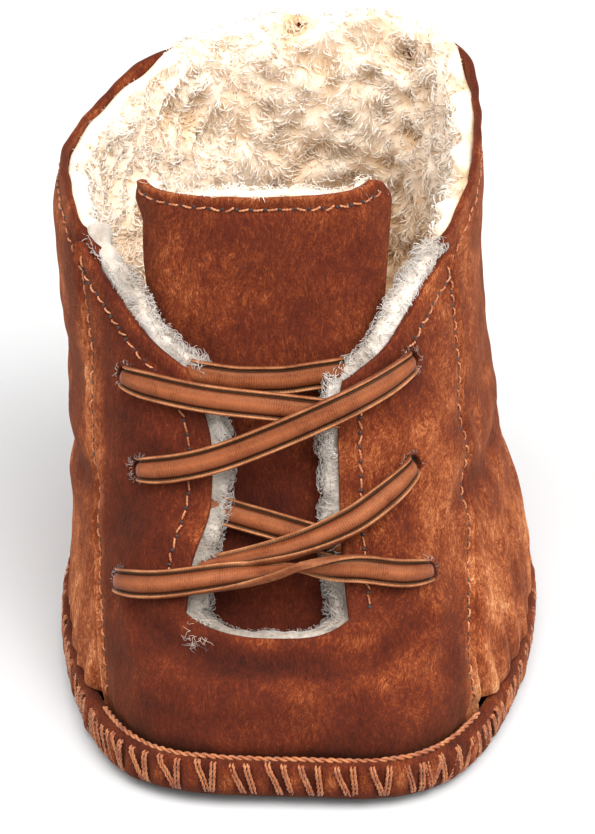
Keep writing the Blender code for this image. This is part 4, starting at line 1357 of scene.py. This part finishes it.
def whip_unit(top, bottom, seed):
    """One bundle of the whip stitch: plied strands side by side, out of a hole under the lip's top, down
    over its face and in underneath."""
    rng = np.random.default_rng(seed)
    height = LIP_HEIGHT - 0.0006 - rng.uniform(0, 0.0004)
    places = np.array(
        (
            (0.00, top, height - 0.0003, -0.0009),
            (0.10, top, height, -0.0001),
            (0.24, top * 0.9 + bottom * 0.1, height - 0.0008, 0.00026),
            (0.50, top * 0.5 + bottom * 0.5, height - 0.0025, 0.00022),
            (0.78, top * 0.15 + bottom * 0.85, 0.0016, 0.00010),
            (0.92, bottom, 0.0007, -0.00055),
            (1.00, bottom, 0.00065, -0.0014),
        )
    )
    t = np.linspace(0, 1, 15)
    path = np.stack([smooth(places[:, 0], places[:, i], t) for i in (1, 2, 3)], axis=1)
    parts = []
    for number in range(WHIP_STRANDS):
        aside = (number - (WHIP_STRANDS - 1) / 2) * WHIP_STRANDS_APART
        spread = 1 + 0.25 * rng.uniform(-1, 1) * np.sin(math.pi * t)
        lifted = 0.0001 * rng.uniform(-1, 1) * np.sin(math.pi * t)
        strand = path + np.stack((aside * spread, 0 * t, lifted), axis=1)
        parts.append(plied(strand, *WHIP_PLY, plies=2, sides=4, turn=rng.uniform(0, 6)))
    return joined(parts)


def places_along(points, facing, pitch, closed=False, start=0.5):
    """Even places along a line: where, which way is ahead, which way the surface faces, and how far along."""
    if closed:
        points, facing = (np.concatenate((values, values[:1])) for values in (points, facing))
    way = np.concatenate(([0.0], np.cumsum(np.linalg.norm(np.diff(points, axis=0), axis=1))))
    count = max(1, round(way[-1] / pitch))
    at = (np.arange(count) + start) * way[-1] / count

    def read(values, where):
        return np.stack([np.interp(where, way, column) for column in values.T], axis=1)

    ahead = read(points, at + 0.0004) - read(points, at - 0.0004)
    ahead /= np.linalg.norm(ahead, axis=1, keepdims=True)
    face = read(facing, at)
    face = face - (face * ahead).sum(axis=1, keepdims=True) * ahead
    face /= np.linalg.norm(face, axis=1, keepdims=True)
    return read(points, at), ahead, face, at


def placed(places, shapes, seed, sway=0.0):
    """Small shapes set at places, each with its X ahead and its Z out, as one list of points and faces."""
    rng = np.random.default_rng(seed)
    parts = []
    for place, ahead, face in places:
        points, faces = shapes[rng.integers(len(shapes))]
        turn = rng.uniform(-sway, sway)
        ahead = math.cos(turn) * ahead + math.sin(turn) * np.cross(face, ahead)
        parts.append((place + points @ np.stack((ahead, np.cross(face, ahead), face)), faces))
    return joined(parts)


def eased(line, step, times):
    """A line of points made even and softened, its ends kept."""
    way = np.concatenate(([0.0], np.cumsum(np.linalg.norm(np.diff(line, axis=0), axis=1))))
    at = np.linspace(0, way[-1], round(way[-1] / step) + 1)
    line = np.stack([np.interp(at, way, column) for column in line.T], axis=1)
    for _ in range(times):
        line[1:-1] = (line[:-2] + 2 * line[1:-1] + line[2:]) / 4
    return line


def flap_stitch_line(side):
    """Shares and heights of the topstitch inside a flap's edge, from the throat's foot up to the notch."""
    upright = np.linspace(THROAT_FOOT_HEIGHT + THROAT_CORNER_RISE + 0.0012, flap_top(0.0, side), 60)
    place = np.linspace(0, 0.93, 50)[1:]
    slanted = flap_top(place, side)
    edge = throat_share(slanted, side)
    share = np.concatenate((throat_share(upright, side), edge + (seam_share(slanted, side) - edge) * place))
    height = np.concatenate((upright, slanted))
    line = eased(np.stack((round_metres(share, height), height), axis=1), 0.0004, 70)
    ahead = np.gradient(line, axis=0)
    ahead /= np.linalg.norm(ahead, axis=1, keepdims=True)
    line = line + FLAP_STITCH_INSET * side * np.stack((ahead[:, 1], -ahead[:, 0]), axis=1)
    return line[:, 0] / half_length(line[:, 1], side), line[:, 1]


def stitch_lines():
    """Every topstitched line of the boot, as points on the skin with the way that each faces."""
    lines = []
    for side in (-1, 1):
        share, height = flap_stitch_line(side)
        lines.append((share, height, SEAM_STEP + skin_relief(share, height) - STITCH_DEPTH))
        height = np.linspace(LIP_HEIGHT + 0.0008, NOTCH_HEIGHT - 0.0016, 150)
        share = seam_share(height, side) - side * SEAM_STITCH_INSET / half_length(height, side)
        lines.append((share, height, SEAM_STEP + skin_relief(share, height) - STITCH_DEPTH))
        place = np.linspace(0.012, 1, 240)
        height = collar_top(place, side) - HEEL_DIP * at_heel(place) - COLLAR_STITCH_INSET
        seam = seam_share(height, side)
        share = seam + (side - seam) * place
        lines.append((share, height, skin_relief(share, height) + lean_out(share, height) - STITCH_DEPTH))
    across = np.linspace(-0.93, 0.93, 90)
    height = TONGUE_HEIGHT - TONGUE_STITCH_INSET + 0 * across
    left, right = (tongue_side(height[0], side) for side in (-1, 1))
    share = left + (right - left) * (across + 1) / 2
    face = tongue_face(across, height)
    relief = 0.00025 * swell(on_last(share, height, face), 0.013, 61) - STITCH_DEPTH
    lines.append((share, height + tongue_dip(across, height), face + relief))
    return [(on_last(share, height, out), outward(share, height)) for share, height, out in lines]


def make_topstitches(finish, hole_shadow_finish):
    """Topstitches along every sewn line, and near black plugs in the holes that they go down into, painting the
    holes' shade.
    """
    shapes = [
        stitch_unit(STITCH_LENGTH * length, 0.00026 * rise, skew)
        for length, rise, skew in STITCH_SHAPES
    ]
    # A near black plug sunk into each needle hole: painted shade
    shadow_plug = tube(((0, 0, -0.0002), (0, 0, 0.00014), (0, 0, 0.00018)), (0.00030, 0.00028, 0.00012), sides=7)
    stitches, holes = [], []
    for points, facing in stitch_lines():
        stitches += list(zip(*places_along(points, facing, STITCH_PITCH)[:3]))
        holes += list(zip(*places_along(points, facing, STITCH_PITCH, start=0.0)[:3]))
    return (
        new_piece("topstitches", *placed(stitches, shapes, 101, sway=0.16), finish),
        new_piece("stitch_holes", *placed(holes, [shadow_plug], 102), hole_shadow_finish),
    )


def lip_ring(out, height, count=720):
    """A closed ring round the lip, its points and the level way that each faces, from the heel's middle."""
    share = np.linspace(-1, 1, count + 1)[:-1]
    level = np.full(count, height)
    points = on_last(share, level, SEAM_STEP + GAP + out + 0 * level, level=True)
    facing = outward(share, level) * (1, 1, 0)
    return points, facing / np.linalg.norm(facing, axis=1, keepdims=True), share


def make_whip_stitches(finish):
    """Pairs of thread bundles over the lip, crowded into single ones round the front corners."""
    points, facing, _ = lip_ring(LIP_WALL, 0.0)
    total = np.linalg.norm(np.diff(np.concatenate((points, points[:1])), axis=0), axis=1).sum()
    toe = total * 0.5

    def crowded(at):
        past_toe = [(at > toe + start) & (at < toe + end) for start, end in CROWDED_STRETCHES]
        return past_toe[0] | past_toe[1]

    left, right, single = [], [], []
    for i, (a, b) in enumerate(WHIP_SLIPS):
        left.append(whip_unit(LEFT_BUNDLE[0] + a, LEFT_BUNDLE[1] + b, 110 + i))
        right.append(whip_unit(RIGHT_BUNDLE[0] + a, RIGHT_BUNDLE[1] + 3 * b, 120 + i))
    for i, (a, b) in enumerate(CROWDED_LEANS):
        single.append(whip_unit(CROWDED_LEAN * a, CROWDED_LEAN * b, 130 + i))
    place, ahead, face, at = places_along(points, facing, WHIP_PITCH, closed=True)
    plain = ~crowded(at)
    pairs = list(zip(place[plain], ahead[plain], face[plain]))
    place, ahead, face, at = places_along(points, facing, CROWDED_PITCH, closed=True)
    close = crowded(at)
    corners = list(zip(place[close], ahead[close], face[close]))
    parts = [placed(pairs, left, 103), placed(pairs, right, 104), placed(corners, single, 105)]
    return new_piece("whip_stitches", *joined(parts), finish)


def make_lip_chain(finish):
    """The plied thread that runs along the toe between the lip's top and the vamp, seam to seam."""
    share = np.linspace(0.9 * seam_share(LIP_HEIGHT, -1), 0.9 * seam_share(LIP_HEIGHT, 1), 360)
    level = np.full(len(share), LIP_HEIGHT + 0.0001)
    sway = 0.00015 * np.sin(share * 60) + 0.0001 * np.sin(share * 141)
    path = on_last(share, level + sway, SEAM_STEP + GAP + 0.0006 + sway, level=True)
    return new_piece("lip_chain", *plied(path, 0.00024, 0.00020, 0.0026, plies=2, sides=5), finish)


def hair(root, way, face, length, curl, rng, radius=0.00004):
    """A loose hair: lifts off its root, bends over and curls."""
    t = np.linspace(0, 1, 10)[:, None]
    aside = np.cross(face, way)
    bend = rng.uniform(-0.4, 0.4) * t**2
    sweep = bend + curl * t * np.sin(2 * math.pi * (rng.uniform(0.5, 1.3) * t + rng.uniform()))
    lift = (0.15 + 0.25 * rng.uniform()) * np.sin(math.pi * 0.9 * t)
    path = root + length * (way * t * 0.9 + aside * sweep + face * lift)
    return tube(path, radius * np.linspace(1.2, 0.6, 10), sides=3)


def spray(rng, place, face, count, length, curl, ring=0.0, radius=0.00004):
    """Loose hairs that start round a place, or from a ring round it, and go every way."""
    across = np.cross(face, (0.0, 0.0, 1.0))
    across /= np.linalg.norm(across)
    up = np.cross(face, across)
    hairs = []
    for _ in range(count):
        angle = rng.uniform(0, 2 * math.pi)
        way = math.cos(angle) * across + math.sin(angle) * up
        bent = angle + rng.uniform(-0.9, 0.9)
        root = place + ring * way
        way = math.cos(bent) * across + math.sin(bent) * up
        hairs.append(hair(root, way, face, length * rng.uniform(0.5, 1.2), curl, rng, radius))
    return hairs


def make_frays(dark, pale):
    """Frayed fibres round the eyelets, the tuft at the throat's corner, and loose curls in the collar."""
    rng = np.random.default_rng(140)
    frays = []
    for name in EYELETS:
        share, height = eyelet_place(name)
        place, face = on_last(share, height, SEAM_STEP), outward(share, height)
        frays += spray(rng, place, face, 34, 0.0011, 0.3, EYELET_RADIUS)
    tuft_height = THROAT_FOOT_HEIGHT + 0.0006
    tuft_share = throat_share(tuft_height, -1) + 0.0022 / half_length(tuft_height, -1)
    place, face = on_last(tuft_share, tuft_height, 0.0002), outward(tuft_share, tuft_height)
    curls = spray(rng, place, face, 26, 0.0019, 0.45, 0.0008, 0.00003)
    frays += spray(rng, place - (0.0, 0.0, 0.0008), face, 36, 0.0018, 0.5, 0.0009)
    for aside, height, out in LOOSE_CURLS:
        share = front_share(aside * SEAM_HALF_WIDTH, height * COLLAR_HEIGHT)
        curls += spray(
            rng, on_last(share, height * COLLAR_HEIGHT, out), outward(share, height * COLLAR_HEIGHT),
            4, 0.0060, 0.30, 0.0008, 0.00003,
        )
    return (
        new_piece("eyelet_fray", *joined(frays), dark),
        new_piece("loose_curls", *joined(curls), pale),
    )


def elastic_run(places):
    """Points, faces and the weave's values of one run of the flat elastic."""
    places = np.array(places, float)
    flat = places[:, :2] * (SEAM_HALF_WIDTH, COLLAR_HEIGHT)
    flat = np.concatenate((flat, places[:, 2:3] * LACE_THICKNESS), axis=1)
    way = np.concatenate(([0.0], np.cumsum(np.linalg.norm(np.diff(flat, axis=0), axis=1))))
    rib = 0.00036
    coarse = np.linspace(0, way[-1], 90)
    aside, height, lift, roll, width = (smooth(way, column, coarse) for column in places.T)
    height = height * COLLAR_HEIGHT
    share = np.array([front_share(a * SEAM_HALF_WIDTH, h) for a, h in zip(aside, height)])
    middle = on_last(share, height, SEAM_STEP + GAP + LACE_THICKNESS * (lift + 0.5))
    facing = outward(share, height)
    steps = np.concatenate(([0.0], np.cumsum(np.linalg.norm(np.diff(middle, axis=0), axis=1))))
    stations = np.arange(0, steps[-1], rib / 3)

    def pick(values):
        return np.stack([np.interp(stations, steps, v) for v in values.T], axis=1)

    for _ in range(3):
        middle[1:-1] = (middle[:-2] + 2 * middle[1:-1] + middle[2:]) / 4
    middle, facing = pick(middle), pick(facing)
    roll = np.radians(np.interp(stations, steps, roll))[:, None]
    width = np.interp(stations, steps, width)
    ahead = np.gradient(middle, axis=0)
    ahead /= np.linalg.norm(ahead, axis=1, keepdims=True)
    facing = facing - (facing * ahead).sum(axis=1, keepdims=True) * ahead
    facing /= np.linalg.norm(facing, axis=1, keepdims=True)
    across = np.cross(facing, ahead)
    facing, across = (
        facing * np.cos(roll) + across * np.sin(roll),
        across * np.cos(roll) - facing * np.sin(roll),
    )
    edge = np.array((-1.0, -0.97, -0.90, -0.83, -0.77, -0.71, -0.65, -0.58, -0.48, -0.26))
    top = np.concatenate((edge, [0.0], -edge[::-1]))
    cord = np.sqrt(np.clip(1 - ((np.abs(top) - 0.88) / 0.12) ** 2, 0, 1))
    pad = np.clip((0.64 - np.abs(top)) / 0.12, 0, 1) ** 0.5 * (0.66 + 0.38 * (1 - (top / 0.64) ** 2))
    thick = np.maximum(np.maximum(cord, pad), 0.26 * (np.abs(top) < 0.98))
    on_pad = np.clip((0.62 - np.abs(top)) / 0.08, 0, 1)
    on_groove = np.exp(-(((np.abs(top) - 0.70) / 0.07) ** 2))
    across_value = np.concatenate((np.abs(top), np.abs(top[-2:0:-1])))
    place = np.concatenate((top, top[-2:0:-1]))
    sign = np.concatenate((np.ones(len(top)), -np.ones(len(top) - 2)))
    thick = np.concatenate((thick, thick[-2:0:-1]))
    on_pad = np.concatenate((on_pad, on_pad[-2:0:-1]))
    on_groove = np.concatenate((on_groove, on_groove[-2:0:-1]))
    wave = np.cos(2 * math.pi * stations / rib)[:, None]
    half = LACE_THICKNESS / 2 * 0.86
    lift = half * thick + 0.000030 * wave * on_pad + 0.000035 * wave * on_groove
    sideways = (place * LACE_WIDTH / 2)[None] * width[:, None] + 0.00005 * wave * on_groove * np.sign(place)
    sideways = sideways + 0 * lift
    points = (
        middle[:, None] + across[:, None] * sideways[..., None] + facing[:, None] * (sign * lift)[..., None]
    )
    rows, count = points.shape[:2]
    number = np.arange(rows * count).reshape(rows, count)
    after = np.roll(number, -1, axis=1)
    faces = np.stack((number[:-1], after[:-1], after[1:], number[1:]), axis=-1).reshape(-1, 4).tolist()
    faces.append(number[0, ::-1].tolist())
    faces.append(number[-1].tolist())
    ribs = (0.5 + 0.5 * wave) * (on_pad + on_groove)
    return points.reshape(-1, 3), faces, np.broadcast_to(across_value, (rows, count)).ravel(), ribs.ravel()


def make_elastic(name, piece_name, finish):
    """The runs of one crossing."""
    runs = [elastic_run(places) for places in LACE_RUNS[name]]
    points, faces = joined([(run[0], run[1]) for run in runs])
    piece = new_piece(piece_name, points, faces, finish)
    give_tone(piece.data, np.concatenate([run[2] for run in runs]), "across")
    give_tone(piece.data, np.concatenate([run[3] for run in runs]), "rib")
    face_out(piece.data)
    return piece


def make_locks(lining, tongue, insole, finish, clipped):
    """Short locks of wool over every place where the fleece shows."""
    leans = ((0.90, 0.12, 0.0), (0.93, -0.14, 0.8), (0.87, 0.10, 1.9), (0.95, 0.06, 2.6))
    long = unit_collection("long_lock", [wool_fibre(*LONG_LOCK, *one) for one in leans])
    short = unit_collection("short_lock", [wool_fibre(*SHORT_LOCK, *one) for one in leans])
    flaps, collar = lining
    made = [
        grown("flap_locks", flaps.data.copy(), short, 4, clipped, LOCKS_PER_AREA["flap"], 6),
        grown("tongue_locks", tongue.data.copy(), short, 4, finish, LOCKS_PER_AREA["tongue"], 7),
        grown("insole_locks", insole.data.copy(), long, 4, finish, LOCKS_PER_AREA["insole"], 8),
    ]
    for name, side, seed in (("collar_locks_left", -1, 9), ("collar_locks_right", 1, 10)):
        half = collar.data.copy()
        places = np.zeros(3 * len(half.vertices), np.float32)
        half.vertices.foreach_get("co", places)
        values = np.zeros(len(half.vertices), np.float32)
        half.attributes["growth"].data.foreach_get("value", values)
        values *= side * (places[::3] - LAST_MIDDLE) > 0
        half.attributes["growth"].data.foreach_set("value", values)
        made.append(grown(name, half, long, 4, finish, LOCKS_PER_AREA["collar"], seed))
    return made


def finish_piece(piece, slot, *nodes):
    """Says what a piece rides on and stands for; slot, the finish it would take, is not used."""
    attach(piece, "root")
    if nodes:
        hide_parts(*nodes)


GROW = grow_tree()

SUEDE_STOPS = (
    (0.05, "#260C05"), (0.30, "#3F1509"), (0.50, "#521E0D"),
    (0.66, "#6E3115"), (0.84, "#9A5833"), (1.0, "#C08C62"),
)
suede = suede_finish("chestnut_sheepskin_suede", SUEDE_STOPS)
sole_suede = suede_finish("chestnut_sole_suede", SUEDE_STOPS, nap=0.0009, lift=1.2)
fleece = wool_finish(
    "sheared_lambswool_fleece", ((0.05, "#BE8F64"), (0.32, "#DDBB94"), (0.55, "#EFD8BC"), (0.90, "#F5E5D2"))
)
locks = wool_finish(
    "lambswool_locks", ((0.05, "#C89F76"), (0.32, "#E9CDAA"), (0.55, "#F7E3CA"), (0.90, "#FBEFE0")), sheen=0.35
)
# The flaps' wool is the same fleece, given greyer stops: partly painted shade on those bands, which face in
# toward the tongue
clipped = wool_finish(
    "clipped_grey_white_wool",
    ((0.15, "#5F534A"), (0.42, "#8F8377"), (0.68, "#BAAEA1"), (1.0, "#E4DBD0")),
    sheen=0.3,
)
thread = thread_finish("waxed_copper_thread", ((0.25, "#6E3015"), (0.55, "#9A552B"), (0.9, "#C98A5E")))
whip_thread = thread_finish("thick_copper_thread", ((0.25, "#5C260E"), (0.55, "#87431F"), (0.9, "#B97543")))
# Near black, for the plugs that paint the shade in the needle holes
needle_hole = thread_finish("needle_hole_shadow", ((0.3, "#0E0503"), (0.7, "#1A0B06")))
fray = thread_finish("dark_skin_fibre", ((0.3, "#1C1110"), (0.55, "#4C3A36"), (0.8, "#B0A49C")))
elastic = elastic_finish()

vamp = make_vamp(suede)
quarter = make_quarter(suede)
lining = make_lining(fleece, clipped)
punch_eyelets([vamp, lining[0]])
tongue_skin, tongue_wool = make_tongue(suede, fleece)
outsole = make_outsole(sole_suede)
insole = make_insole(fleece)
upper_elastic = make_elastic("lace_upper", "elastic_upper", elastic)
lower_elastic = make_elastic("lace_lower", "elastic_lower", elastic)
wool_locks = make_locks(lining, tongue_wool, insole, locks, clipped)
topstitches, stitch_holes = make_topstitches(thread, needle_hole)
whip_stitches = make_whip_stitches(whip_thread)
lip_chain = make_lip_chain(whip_thread)
eyelet_fray, loose_curls = make_frays(fray, locks)

for piece in (vamp, quarter):
    finish_piece(piece, "suede", "upper")
for piece in lining:
    finish_piece(piece, "fleece", "upper")
finish_piece(tongue_skin, "suede", "tongue")
finish_piece(tongue_wool, "fleece", "tongue")
finish_piece(outsole, "sole_suede", "sole")
finish_piece(insole, "fleece", "insole")
finish_piece(upper_elastic, "elastic", "lace_upper")
finish_piece(lower_elastic, "elastic", "lace_lower")
for piece in (*wool_locks, loose_curls):
    finish_piece(piece, "fleece")
for piece in (topstitches, whip_stitches, lip_chain):
    finish_piece(piece, "thread")
for piece in (stitch_holes, eyelet_fray):
    finish_piece(piece, "suede")


def make_floor():
    """A plain pale floor, wide enough to fill every view."""
    bpy.ops.mesh.primitive_plane_add(size=12.0)
    floor = bpy.context.object
    floor.name = "floor"
    finish, _, shader = new_finish("matt_white_floor")
    shader.inputs["Base Color"].default_value = (0.56, 0.56, 0.56, 1.0)
    shader.inputs["Roughness"].default_value = 0.9
    shader.inputs["Specular IOR Level"].default_value = 0.1
    floor.data.materials.append(finish)


def add_light(name, place, target, size, power):
    """A soft square light aimed at a point."""
    data = bpy.data.lights.new(name, "AREA")
    data.size = size
    data.energy = power
    light = bpy.data.objects.new(name, data)
    bpy.context.scene.collection.objects.link(light)
    way = Vector(target) - Vector(place)
    light.matrix_world = Matrix.Translation(Vector(place)) @ way.to_track_quat("-Z", "Y").to_matrix().to_4x4()


def make_camera():
    """The photograph's view: from the toe's side, a little above, nearly straight on."""
    azimuth, elevation, roll = (math.radians(angle) for angle in (3.0, 28.5, 1.5))
    distance, focal_pixels, picture_height = 0.6, 3958.0, 834.0
    target = Vector((-0.0009 + SHIFT[0], SHIFT[1], 0.0337))
    way = Vector(
        (math.sin(azimuth) * math.cos(elevation), -math.cos(azimuth) * math.cos(elevation), math.sin(elevation))
    )
    data = bpy.data.cameras.new("camera")
    data.sensor_fit = "VERTICAL"
    data.sensor_height = 36.0
    data.lens = focal_pixels / picture_height * data.sensor_height
    data.clip_start = 0.01
    camera = bpy.data.objects.new("camera", data)
    bpy.context.scene.collection.objects.link(camera)
    camera.matrix_world = (
        Matrix.Translation(target + way * distance)
        @ (-way).to_track_quat("-Z", "Y").to_matrix().to_4x4()
        @ Matrix.Rotation(roll, 4, "Z")
    )
    bpy.context.scene.camera = camera


def make_studio():
    """Even white surroundings and two soft boxes, the stronger one to the right of the toe."""
    world = bpy.data.worlds.new("studio")
    bpy.context.scene.world = world
    world.use_nodes = True
    world.node_tree.nodes["Background"].inputs["Color"].default_value = (1.0, 1.0, 1.0, 1.0)
    world.node_tree.nodes["Background"].inputs["Strength"].default_value = 0.8
    add_light("soft_box_right", (0.60, -0.45, 0.75), (0.0, 0.0, 0.03), 0.9, 12.0)
    add_light("soft_box_left", (-0.70, -0.30, 0.60), (0.0, 0.0, 0.03), 0.9, 4.0)
    add_light("soft_box_top", (0.05, -0.40, 0.95), (0.0, 0.02, 0.05), 0.8, 9.0)
    bpy.context.scene.view_settings.view_transform = "Standard"


make_floor()
make_camera()
make_studio()
